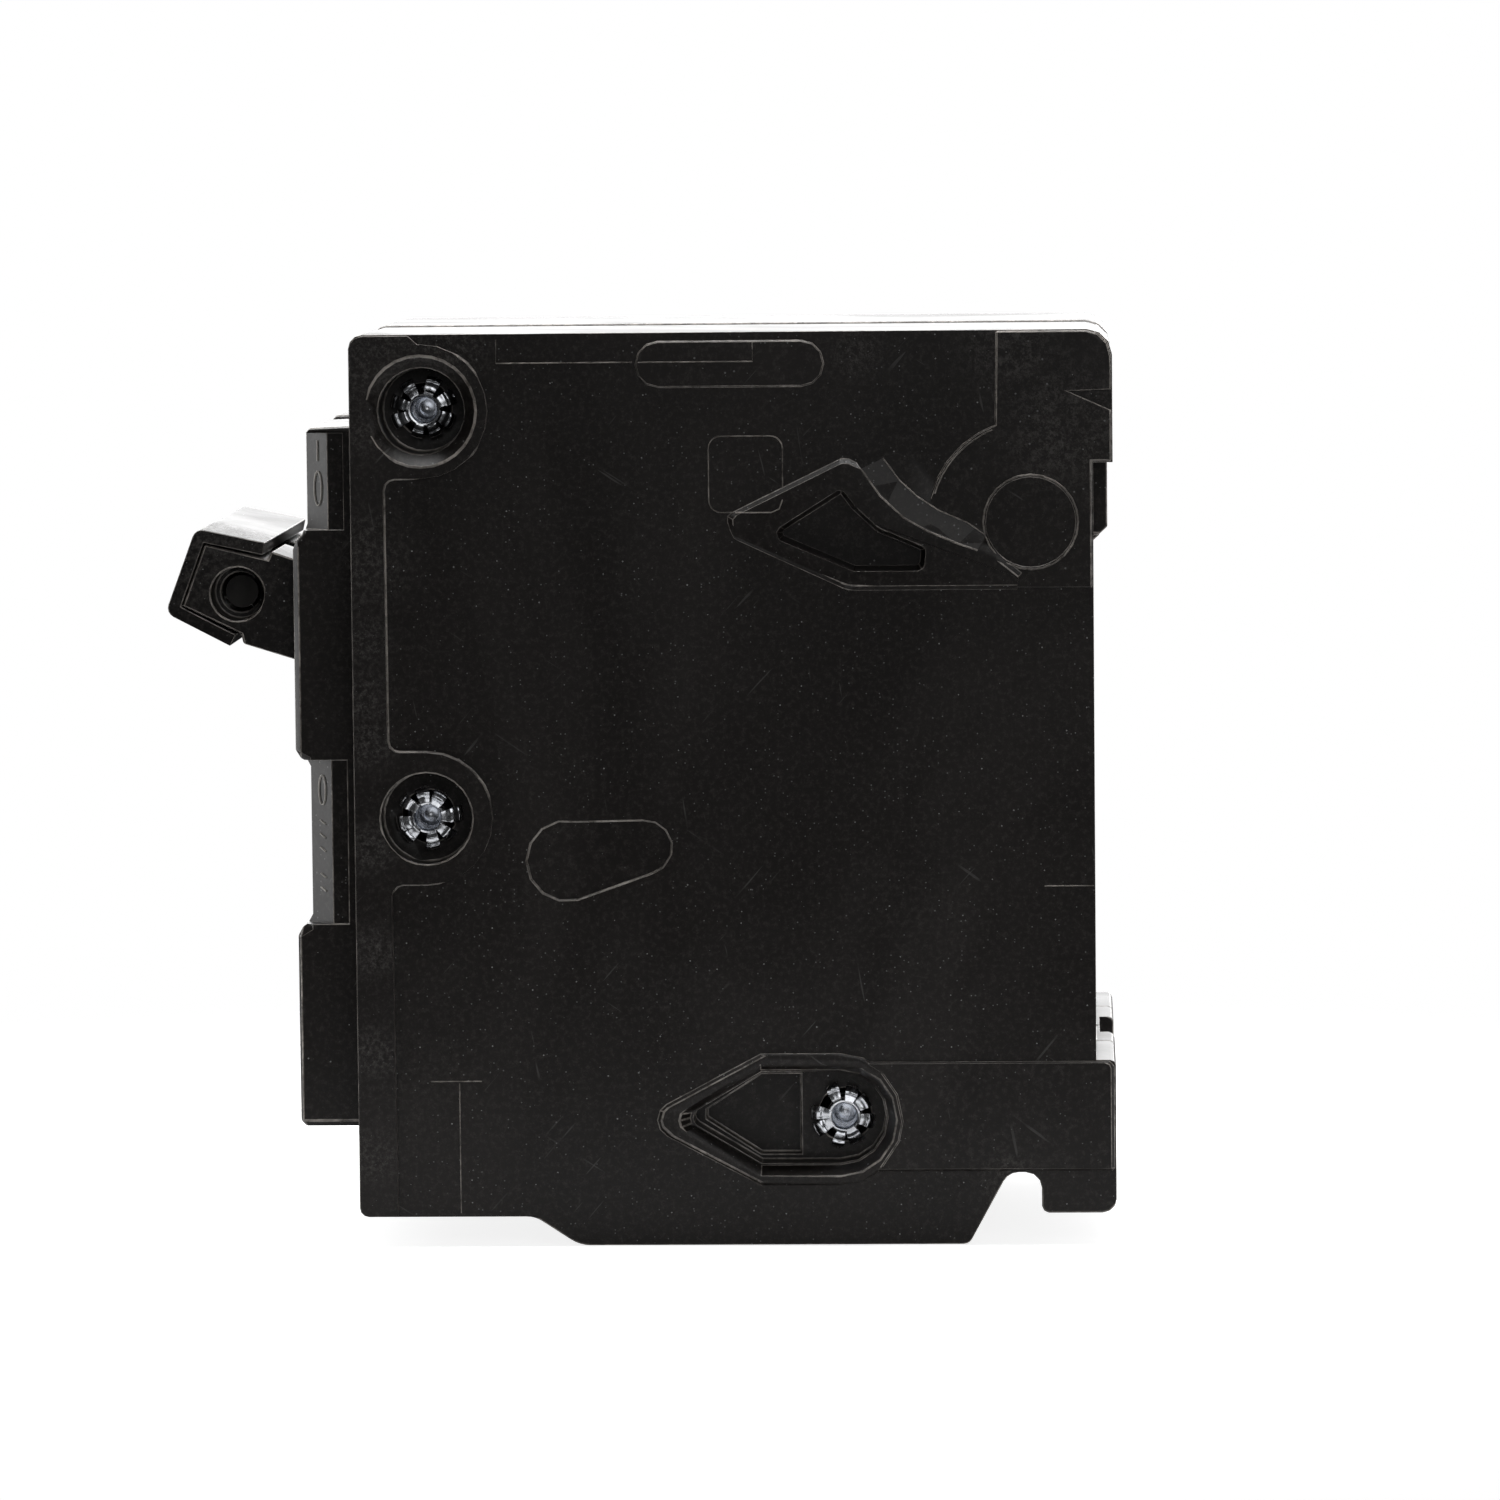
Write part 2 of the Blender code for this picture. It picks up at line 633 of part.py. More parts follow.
def make_base(pole, z, material):
    """Base shell: the pole's far side face and the other half of its front."""
    tag = "base_" + pole
    seam = z + SEAM + SEAM_GAP
    before = seam - 2
    far = z + POLE_WIDTH
    shell = prism(tag, case_outline(True), before, far, material)
    block = prism("block_" + tag, block_outline(), before + 0.6, z + BLOCK_FAR, bevel=0.5)
    bearing = cylinder("handle_bearing_" + tag, (*HANDLE_PIVOT, z + 18.8),
                       (*HANDLE_PIVOT, far - 1.5), BEARING_RADIUS)
    bar_boss = cylinder("bar_boss_" + tag, (*TRIP_BAR, z + 20.7), (*TRIP_BAR, far - 1.4),
                        BAR_BOSS_RADIUS)
    post = cylinder("cradle_post_" + tag, (*CRADLE_PIVOT, z + 17.8),
                    (*CRADLE_PIVOT, far - 1.5), 1.3, 16)
    join(shell, block)
    cut(shell, prism("cavity_" + tag, cavity_outline(), before - 1, far - WALL))
    join(shell, bearing, bar_boss, post)
    cut(shell, *label_steps(tag, z, False))
    cut(shell, *shared_openings(tag, z, before - 1, far))
    cut(shell, *rivet_holes(tag, before - 1, far + 1))
    bar_hole = far + 1 if pole == "a" else z + 22.9
    cut(shell, cylinder("trunnion_hole_" + tag, (*HANDLE_PIVOT, z + 17.5),
                        (*HANDLE_PIVOT, z + 21.5), TRUNNION_HOLE, 20),
        cylinder("bar_hole_" + tag, (*TRIP_BAR, z + 19), (*TRIP_BAR, bar_hole),
                 TRIP_BAR_HOLE, 20))
    if pole == "a":
        cut(shell, box("foot_notch_" + tag, (FOOT_NOTCH_U, 68), (0, FOOT_TOP + 0.5),
                       (z + FOOT_A_END, far + 1)))
    else:
        cut(shell, *[cylinder(f"{name}_head_well_{tag}", (rivet["u"], rivet["w"], far - 2),
                              (rivet["u"], rivet["w"], far + 1), 4.2)
                     for name, rivet in RIVETS.items()])
    return cut(shell, seam_trim(tag, before - 2, seam))


# ---------------------------------------------------------------- rivets

def make_rivet(name, rivet, material):
    """Tubular rivet through both poles, splayed at one end."""
    head = TOTAL_WIDTH - 0.5
    splay = rivet["floor"] - 0.3
    bore = 1.2
    profile = [(0, head), (3.2, head), (3.6, head - 0.5), (3.6, head - 1.2),
               (RIVET_RADIUS, head - 1.2), (RIVET_RADIUS, splay + 0.6),
               (2.6, splay), (2.9, splay - 0.6), (2.7, splay - 0.95),
               (2.2, splay - 0.75), (1.75, splay - 0.3), (1.45, splay - 0.6),
               (bore, splay - 0.3), (bore, splay + 4.5), (0, splay + 4.5)]
    mesh_data = bpy.data.meshes.new(name)
    work = bmesh.new()
    verts = [work.verts.new((radius * MM, 0, z * MM)) for radius, z in profile]
    for first, second in zip(verts, verts[1:]):
        work.edges.new((first, second))
    work.to_mesh(mesh_data)
    work.free()
    item = add_mesh(name, mesh_data, material, PARTS)
    item.location = place(rivet["u"], rivet["w"], 0)
    item.rotation_euler = (math.radians(-90), 0, 0)
    turn = item.modifiers.new("turned", "SCREW")
    turn.axis = "Z"
    turn.steps = 20
    turn.render_steps = 20
    turn.use_merge_vertices = True
    turn.merge_threshold = 0.00001
    petals = 7
    for index in range(petals):
        angle = 2 * math.pi * (index + 0.3) / petals
        side = Vector((math.cos(angle), math.sin(angle)))
        inner = (rivet["u"] + 1.75 * side.x, rivet["w"] + 1.75 * side.y)
        outer = (rivet["u"] + 3.4 * side.x, rivet["w"] + 3.4 * side.y)
        slit = prism(f"{name}_slit_{index}", ribbon([inner, outer], 0.5),
                     splay - 1.6, splay + 0.35)
        cut(item, slit)
    return item


# ---------------------------------------------------------------- handle

def handle_outline():
    """Side outline of one pole's handle: stem, shield and crank lobe."""
    edge = inset([*HANDLE_TIP, *HANDLE_ROOT], CAP_THICKNESS + CAP_GAP)
    stem_top = [edge[0], (-7.9, 59.73), (-7.55, 60.45)]
    shield_top = arc(HANDLE_PIVOT, HANDLE_DRUM, 128, 90, 4)
    lobe = [(5.7, 53.6)] + arc(ARM_PIVOT, 2.2, 50, -70, 5) + [(5.4, 46.8)]
    shield_low = arc(HANDLE_PIVOT, HANDLE_DRUM, 270, 188, 8)
    stem_low = [(-10.15, 52.35), (-10.35, 53.23), edge[1]]
    return stem_top + shield_top + lobe + shield_low + stem_low


def make_handle(pole, z, material):
    """One pole's handle, with trunnions, arm slot and stepped tie hole."""
    near = z + HANDLE_NEAR
    far = z + HANDLE_FAR
    name = "handle_" + pole
    item = prism(name, handle_outline(), near, far, material, bevel=0.25)
    trunnion = cylinder("trunnion_" + name, (*HANDLE_PIVOT, z + 4.0),
                        (*HANDLE_PIVOT, z + 21.2), 1.8, 20)
    join(item, trunnion)
    mouth = near if pole == "a" else far
    inward = 3.2 if pole == "a" else -3.2
    lead = -1 if pole == "a" else 1
    cut(item,
        box("arm_slot_" + name, (5.9, 14), (44, 58), (z + 10.9, z + 14.3)),
        cylinder("arm_pin_hole_" + name, (*ARM_PIVOT, near - 1), (*ARM_PIVOT, far + 1), 1.25, 16),
        cylinder("tie_hole_" + name, (*TIE_HOLE, near - 1), (*TIE_HOLE, far + 1), 1.75, 20),
        cylinder("tie_mouth_" + name, (*TIE_HOLE, mouth + lead),
                 (*TIE_HOLE, mouth + inward), 2.35, 28))
    return item


def make_handle_cap(material):
    """Cap that wraps the ends of both handles so they move together."""
    outer = rounded([HANDLE_ROOT[1], (*HANDLE_TIP[0], 0.9), (*HANDLE_TIP[1], 0.9),
                     HANDLE_ROOT[0]], 3)
    top_inner = (-8.33, 60.12)
    low_inner = (-10.79, 53.13)
    edge = inset([*HANDLE_TIP, *HANDLE_ROOT], CAP_THICKNESS)
    outline = outer + [low_inner, edge[1], edge[0], top_inner]
    return prism("handle_cap", outline, HANDLE_NEAR, POLE_PITCH + HANDLE_FAR + 0.2,
                 material, bevel=0.2)


# ---------------------------------------------------------------- mechanism

def make_contact_arm(pole, z, copper, silver):
    """Moving contact arm with its silver contact."""
    middle = z + POLE_MIDDLE
    low = middle - 1.3
    high = middle + 1.3
    name = "contact_arm_" + pole
    path = [ARM_PIVOT, (33.6, 63.27), (36.0, 64.9), (40.3, 64.9)]
    item = prism(name, ribbon(path, 2.2), low, high, copper)
    join(item, cylinder("arm_eye_" + pole, (*ARM_PIVOT, low + 0.02),
                        (*ARM_PIVOT, high - 0.02), 1.9, 20),
         cylinder("arm_peg_" + pole, (*ARM_PEG, middle), (*ARM_PEG, z + 18.0), 0.7, 12))
    cut(item, cylinder("arm_eye_hole_" + pole, (*ARM_PIVOT, low - 1),
                       (*ARM_PIVOT, high + 1), 1.2, 16))
    contact = cylinder("moving_contact_" + pole, (CONTACT_U, 66.3, middle),
                       (CONTACT_U, 67.2, middle), 2.0, 20, silver)
    return item, contact


def make_arm_pin(pole, z, steel):
    """Pin that joins a contact arm to its handle."""
    return cylinder("arm_pin_" + pole, (*ARM_PIVOT, z + 7.4), (*ARM_PIVOT, z + 17.8),
                    0.9, 16, steel)


def make_cradle(pole, z, steel):
    """Latched cradle: pivot eye, spring hook and latch tip."""
    name = "cradle_" + pole
    low = z + CRADLE_Z[0]
    high = z + CRADLE_Z[1]
    outline = rounded([
        (CRADLE_PIVOT[0] - 2.3, CRADLE_PIVOT[1] - 2.6, 2.0),
        (CRADLE_HOOK[0] - 1.9, CRADLE_HOOK[1] + 1.8, 1.6),
        (CRADLE_HOOK[0] + 1.9, CRADLE_HOOK[1] + 1.8, 1.6),
        (CRADLE_PIVOT[0] + 3.0, CRADLE_PIVOT[1] + 3.8, 2.0),
        (CRADLE_TIP[0] - 3.0, CRADLE_TIP[1] + 1.4), (CRADLE_TIP[0], CRADLE_TIP[1] + 0.7),
        (CRADLE_TIP[0], CRADLE_TIP[1] - 0.8), (CRADLE_TIP[0] - 4.0, CRADLE_TIP[1] - 1.6),
        (CRADLE_PIVOT[0] + 3.0, CRADLE_PIVOT[1] - 2.6, 1.5)])
    item = prism(name, outline, low, high, steel)
    join(item, cylinder("hook_peg_" + pole, (*CRADLE_HOOK, z + 14.7),
                        (*CRADLE_HOOK, low + 0.8), 0.8, 12))
    return cut(item, cylinder("cradle_eye_" + pole, (*CRADLE_PIVOT, low - 1),
                              (*CRADLE_PIVOT, high + 1), 1.6, 16))


def make_toggle_spring(pole, z, steel):
    """Tension spring from the arm's peg to the cradle's hook."""
    start = place(*ARM_PEG, z + SPRING_Z)
    end = place(*CRADLE_HOOK, z + SPRING_Z)
    along = end - start
    aim = along.to_track_quat("Z", "Y")
    turns = 6
    points_per_turn = 8
    coil_radius = 1.35
    points = [start + along * 0.08]
    total = turns * points_per_turn
    for step in range(total + 1):
        angle = 2 * math.pi * step / points_per_turn
        ring = Vector((math.cos(angle), math.sin(angle), 0)) * coil_radius * MM
        ring.rotate(aim)
        points.append(start + along * (0.16 + 0.68 * step / total) + ring)
    points.append(start + along * 0.92)
    return wire("toggle_spring_" + pole, points, 0.24, steel, 1)


def wire(name, points, radius, material, resolution):
    """Round wire along a list of world points."""
    data = bpy.data.curves.new(name + "_path", "CURVE")
    data.dimensions = "3D"
    data.bevel_depth = radius * MM
    data.bevel_resolution = resolution
    data.use_fill_caps = True
    spline = data.splines.new("POLY")
    spline.points.add(len(points) - 1)
    for point, position in zip(spline.points, points):
        point.co = (*position, 1)
    sketch = bpy.data.objects.new(name + "_sketch", data)
    bpy.context.scene.collection.objects.link(sketch)
    return solid_from(sketch, name, material)


def make_armature(pole, z, steel):
    """Armature plate, with the wing that holds the cradle's latch tip."""
    item = box("armature_" + pole, (42.0, 43.2), (27.0, 51.0), (z + 7.8, z + 17.4), steel)
    return join(item, box("latch_wing_" + pole, (41.98, 43.18), (42.2, 46.4),
                          (z + 16.0, z + 20.3)))


def make_yoke(pole, z, steel):
    """U-shaped magnet yoke around the bimetal."""
    item = box("magnet_yoke_" + pole, (45.2, 49.4), (28.0, 42.0), (z + 7.8, z + 17.4), steel)
    return cut(item, box("yoke_hollow_" + pole, (44.0, 48.2), (27.0, 43.0),
                         (z + 9.0, z + 16.2)))


def make_bimetal(pole, z, metal):
    """Bimetal strip that stands on the load strap."""
    strip = ribbon([(46.9, 18.2), (46.9, 30.0), (46.7, 40.0), (46.4, 49.5)], 1.0)
    return prism("bimetal_" + pole, strip, z + 10.0, z + 15.2, metal)


def make_braid(pole, z, copper):
    """Flexible braid from the bimetal's top towards the contact arm."""
    middle = z + POLE_MIDDLE
    control = [(48.4, 44.0), (49.6, 48.0), (49.2, 51.6), (46.0, 53.2), (41.0, 53.6),
               (36.0, 55.2), (33.4, 57.8), (32.6, 60.4)]
    points = []
    for first, second in zip(control, control[1:]):
        for step in range(3):
            blend = step / 3
            points.append(place(first[0] + (second[0] - first[0]) * blend,
                                first[1] + (second[1] - first[1]) * blend, middle))
    points.append(place(*control[-1], middle))
    return wire("braid_" + pole, points, 0.9, copper, 2)


def make_load_strap(pole, z, copper):
    """Strap from the terminal lug up to the bimetal's foot."""
    path = [(11.25, 4.3), (11.25, 14.0), (13.8, 17.4), (48.6, 17.4)]
    return prism("load_strap_" + pole, ribbon(path, 0.9), z + 10.0, z + 15.2, copper)


def make_line_side(pole, z, copper, silver, spring_steel):
    """Line strap, fixed contact, jaw and the jaw's backing spring."""
    middle = z + POLE_MIDDLE
    prism("line_strap_" + pole, ribbon([(34.6, 69.3), (51.4, 69.3)], 1.2),
          middle - 2.8, middle + 2.8, copper)
    cylinder("fixed_contact_" + pole, (CONTACT_U, 67.5, middle),
             (CONTACT_U, 68.4, middle), 2.3, 20, silver)
    clip("line_jaw_" + pole, middle, 51.8, 61.8, 1.35, 2.1, 0.8, (62.6, 72.0), copper)
    clip("jaw_spring_" + pole, middle, 50.9, 59.4, 2.65, 3.1, 0.6,
         (63.6, 68.2), spring_steel)


def clip(name, middle, back, mouth, pinch, flare, thickness, span, material):
    """U-shaped spring clip, open towards the panel and seen from above."""
    path = [(mouth, flare), (mouth - 2.0, pinch), (back + 2.2, flare), (back, flare)]
    mirrored = [(u, -offset) for u, offset in reversed(path)]
    outline = ribbon(path + mirrored, thickness)
    mesh_data = bpy.data.meshes.new(name)
    work = bmesh.new()
    ring = [work.verts.new(place(u, span[0], middle + offset)) for u, offset in outline]
    work.faces.new(ring)
    raised = bmesh.ops.extrude_face_region(work, geom=work.faces[:])
    top = [part for part in raised["geom"] if isinstance(part, bmesh.types.BMVert)]
    bmesh.ops.translate(work, vec=(0, 0, (span[1] - span[0]) * MM), verts=top)
    bmesh.ops.recalc_face_normals(work, faces=work.faces)
    work.to_mesh(mesh_data)
    work.free()
    return add_mesh(name, mesh_data, material, PARTS)


def make_arc_chute(pole, z, steel):
    """Stack of arc-splitting plates between two side sheets."""
    item = box("arc_chute_" + pole, (45.4, 50.2), (55.8, 67.4), (z + 7.6, z + 17.6), steel)
    gap = 1.5
    spacing = 2.55
    for index in range(4):
        low = 56.8 + index * spacing
        cut(item, box(f"chute_gap_{pole}_{index}", (44, 53), (low, low + gap),
                      (z + 8.4, z + 16.8)))


# ---------------------------------------------------------------- terminal

def make_terminal(pole, z, brass, steel):
    """Box lug, and the clamp saddle and screw that move in it."""
    middle = z + POLE_MIDDLE
    lug = box("terminal_lug_" + pole, (5.6, 13.4), (4.0, 10.4), (middle - 4.7, middle + 4.7),
              steel)
    soften(lug, 0.5)
    cut(lug, box("lug_window_" + pole, (7.0, 12.0), (3, 12), (middle - 3.2, middle + 3.2)),
        cylinder("lug_thread_" + pole, (4, TERMINAL_W, middle), (7.6, TERMINAL_W, middle), 2.3))
    saddle = box("clamp_saddle_" + pole, (7.25, 8.05), (4.5, 9.1),
                 (middle - 2.8, middle + 2.8), brass)
    screw = cylinder("terminal_screw_" + pole, (SCREW_TOP, TERMINAL_W, middle),
                     (3.0, TERMINAL_W, middle), 2.85, 24, steel)
    join(screw, cylinder("screw_shank_" + pole, (2.5, TERMINAL_W, middle),
                         (6.95, TERMINAL_W, middle), 2.0))
    cut(screw, box("screw_slot_" + pole, (1.0, 2.3), (TERMINAL_W - 0.5, TERMINAL_W + 0.5),
                   (middle - 4, middle + 4)))
    return saddle, screw


def make_trip_bar(material):
    """Common trip bar through both poles, with a finger in each."""
    end = POLE_PITCH + 22.6
    item = cylinder("trip_bar", (*TRIP_BAR, 3.0), (*TRIP_BAR, end), 1.6, 20, material)
    finger = ribbon([(TRIP_BAR[0] + 0.3, TRIP_BAR[1]), (TRIP_BAR[0] + 0.7, 29.8)], 1.2)
    for index, pole in enumerate(POLES):
        z = index * POLE_PITCH
        join(item, prism("trip_finger_" + pole, finger, z + 8.2, z + 12.2))
    return item


# ---------------------------------------------------------------- assembly

def clear_scene():
    """Remove whatever the scene holds."""
    for item in list(bpy.data.objects):
        bpy.data.objects.remove(item)


def make_collection(name):
    """New collection linked to the scene."""
    collection = bpy.data.collections.new(name)
    bpy.context.scene.collection.children.link(collection)
    return collection


def build():
    """Make every piece and hang the moving ones on their joints."""
    phenolic = surface("black_phenolic", (0.018, 0.016, 0.015), 0.45, 0)
    zinc = surface("bright_zinc", (0.72, 0.73, 0.74), 0.3, 1)
    steel = surface("plated_steel", (0.5, 0.5, 0.48), 0.4, 1)
    copper = surface("copper", (0.72, 0.38, 0.24), 0.35, 1)
    silver = surface("contact_silver", (0.85, 0.85, 0.83), 0.35, 1)
    brass = surface("brass", (0.73, 0.6, 0.33), 0.35, 1)
    bimetal = surface("bimetal", (0.55, 0.52, 0.47), 0.4, 1)
    for name, rivet in RIVETS.items():
        make_rivet(name, rivet, zinc)
    handle_parts = [make_handle_cap(phenolic),
                    cylinder("handle_tie_pin", (*TIE_HOLE, 11.0), (*TIE_HOLE, 39.8),
                             1.45, 16, steel)]
    bar = make_trip_bar(phenolic)
    hang(pivot("trip_bar_axis", *TRIP_BAR), bar)
    for index, pole in enumerate(POLES):
        z = index * POLE_PITCH
        middle = z + POLE_MIDDLE
        make_cover(pole, z, phenolic)
        make_base(pole, z, phenolic)
        make_line_side(pole, z, copper, silver, steel)
        make_arc_chute(pole, z, steel)
        make_yoke(pole, z, steel)
        make_bimetal(pole, z, bimetal)
        make_braid(pole, z, copper)
        make_load_strap(pole, z, copper)
        handle_parts += [make_handle(pole, z, phenolic), make_arm_pin(pole, z, steel)]
        hang(pivot("arm_axis_" + pole, *ARM_PIVOT, middle),
             *make_contact_arm(pole, z, copper, silver))
        hang(pivot("cradle_axis_" + pole, *CRADLE_PIVOT, middle),
             make_cradle(pole, z, steel), make_toggle_spring(pole, z, steel))
        hang(pivot("armature_axis_" + pole, *ARMATURE_PIVOT, middle),
             make_armature(pole, z, steel))
        hang(pivot("screw_axis_" + pole, SCREW_TOP, TERMINAL_W, middle),
             *make_terminal(pole, z, brass, zinc))
    hang(pivot("handle_axis", *HANDLE_PIVOT), *handle_parts)
    for item in PARTS.objects:
        if item.type == "MESH":
            item.data.shade_smooth()
            item.data.set_sharp_from_angle(angle=math.radians(35))


clear_scene()
PARTS = make_collection(NAME)
TOOLS = make_collection("cutters")
build()
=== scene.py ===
import json
import math
import random

import bmesh
import bpy
from mathutils import Matrix, Vector


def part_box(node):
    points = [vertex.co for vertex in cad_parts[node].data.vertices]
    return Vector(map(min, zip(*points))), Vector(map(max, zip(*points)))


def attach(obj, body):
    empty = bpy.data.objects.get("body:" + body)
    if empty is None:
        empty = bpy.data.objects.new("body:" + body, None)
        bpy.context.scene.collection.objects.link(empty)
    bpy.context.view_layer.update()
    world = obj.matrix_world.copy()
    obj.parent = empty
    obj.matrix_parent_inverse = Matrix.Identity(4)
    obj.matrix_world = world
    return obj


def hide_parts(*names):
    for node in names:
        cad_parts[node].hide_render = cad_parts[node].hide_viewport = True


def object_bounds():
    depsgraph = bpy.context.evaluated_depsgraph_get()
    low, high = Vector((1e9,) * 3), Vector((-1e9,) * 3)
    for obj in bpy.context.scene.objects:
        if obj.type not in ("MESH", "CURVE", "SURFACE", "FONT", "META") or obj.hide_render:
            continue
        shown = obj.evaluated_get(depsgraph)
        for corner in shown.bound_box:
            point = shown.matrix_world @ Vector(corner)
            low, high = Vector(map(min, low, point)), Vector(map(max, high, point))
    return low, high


# Plug-in circuit breaker: the looks of its pieces, and the picture of it.
# World axes: X from the handle side into the panel, Y across the poles from
# pole A's side, Z up. Distances named u, w and z are in millimetres: back from
# the front deck, up, and across from pole A's side.
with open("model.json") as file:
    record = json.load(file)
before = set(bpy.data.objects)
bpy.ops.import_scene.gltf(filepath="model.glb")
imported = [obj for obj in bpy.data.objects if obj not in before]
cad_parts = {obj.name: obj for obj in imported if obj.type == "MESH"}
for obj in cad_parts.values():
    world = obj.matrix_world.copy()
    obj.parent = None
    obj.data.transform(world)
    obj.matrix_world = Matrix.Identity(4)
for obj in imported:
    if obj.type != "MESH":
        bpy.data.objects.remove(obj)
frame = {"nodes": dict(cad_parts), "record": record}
CAD_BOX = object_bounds()

MM = 0.001
POLES = ("a", "b")
CENTRE = (CAD_BOX[0] + CAD_BOX[1]) / 2


# ---------------------------------------------------------------- materials

class Graph:
    """Short-hand for building a material's nodes."""

    def __init__(self, name):
        self.material = bpy.data.materials.new(name)
        self.material.use_nodes = True
        self.tree = self.material.node_tree
        self.shader = self.tree.nodes["Principled BSDF"]
        self.coords = self.node("ShaderNodeTexCoord").outputs["Object"]

    def node(self, kind, **values):
        made = self.tree.nodes.new(kind)
        for key, value in values.items():
            setattr(made, key, value)
        return made

    def feed(self, socket, value):
        if isinstance(value, bpy.types.NodeSocket):
            self.tree.links.new(value, socket)
        else:
            socket.default_value = value

    def scaled(self, factors):
        mapping = self.node("ShaderNodeMapping")
        self.feed(mapping.inputs["Vector"], self.coords)
        self.feed(mapping.inputs["Scale"], factors)
        return mapping.outputs["Vector"]

    def noise(self, scale, detail=3.0, roughness=0.55, distortion=0.0, vector=None):
        made = self.node("ShaderNodeTexNoise")
        self.feed(made.inputs["Vector"], vector or self.coords)
        self.feed(made.inputs["Scale"], scale)
        self.feed(made.inputs["Detail"], detail)
        self.feed(made.inputs["Roughness"], roughness)
        self.feed(made.inputs["Distortion"], distortion)
        return made.outputs["Fac"]

    def cells(self, scale):
        """Distance from the nearest cell's centre, and the cell's colour."""
        made = self.node("ShaderNodeTexVoronoi")
        self.feed(made.inputs["Vector"], self.coords)
        self.feed(made.inputs["Scale"], scale)
        return made.outputs["Distance"], made.outputs["Color"]

    def ramp(self, value, low, high, to_low=0.0, to_high=1.0):
        made = self.node("ShaderNodeMapRange", interpolation_type="SMOOTHSTEP")
        self.feed(made.inputs["Value"], value)
        self.feed(made.inputs["From Min"], low)
        self.feed(made.inputs["From Max"], high)
        self.feed(made.inputs["To Min"], to_low)
        self.feed(made.inputs["To Max"], to_high)
        return made.outputs["Result"]

    def math(self, operation, first, second=0.0):
        made = self.node("ShaderNodeMath", operation=operation)
        self.feed(made.inputs[0], first)
        self.feed(made.inputs[1], second)
        return made.outputs["Value"]

    def blend(self, factor, first, second):
        made = self.node("ShaderNodeMix", data_type="RGBA")
        self.feed(made.inputs["Factor"], factor)
        for socket, value in ((made.inputs["A"], first), (made.inputs["B"], second)):
            self.feed(socket, value if isinstance(value, bpy.types.NodeSocket)
                      else (*value, 1.0))
        return made.outputs["Result"]

    def near(self, point, reach, fade):
        """1 within reach of a point and 0 beyond reach + fade, in metres."""
        made = self.node("ShaderNodeVectorMath", operation="DISTANCE")
        self.feed(made.inputs[0], self.coords)
        self.feed(made.inputs[1], point)
        return self.ramp(made.outputs["Value"], reach, reach + fade, 1.0, 0.0)

    def bump(self, height, distance, strength):
        made = self.node("ShaderNodeBump")
        self.feed(made.inputs["Height"], height)
        self.feed(made.inputs["Distance"], distance)
        self.feed(made.inputs["Strength"], strength)
        return made.outputs["Normal"]

    def finish(self, color, roughness, metallic=0.0, normal=None, specular=0.5):
        self.shader.inputs["Specular IOR Level"].default_value = specular
        self.feed(self.shader.inputs["Base Color"],
                  color if isinstance(color, bpy.types.NodeSocket) else (*color, 1.0))
        self.feed(self.shader.inputs["Roughness"], roughness)
        self.feed(self.shader.inputs["Metallic"], metallic)
        if normal:
            self.feed(self.shader.inputs["Normal"], normal)
        return self.material


PHENOLIC_RELIEF = 0.03 * MM     # depth of the unevenness in each kind of skin
SKIN_RELIEF = 0.02 * MM
SCRATCH_SPACING = 0.5           # mm, across the scratches
# Sets of scratches: turn in radians, length in mm, and where the pattern starts.
SCRATCHES = ((0.6, 9, 11), (-0.85, 12, 37), (1.4, 8, 5), (2.3, 10, 71))
# Kinds of dust: cells per metre, share of cells with a speck, size, brightness.
DUST = ((1100, 0.3, 0.09, 0.26), (430, 0.14, 0.05, 0.5), (2600, 0.2, 0.24, 0.12))


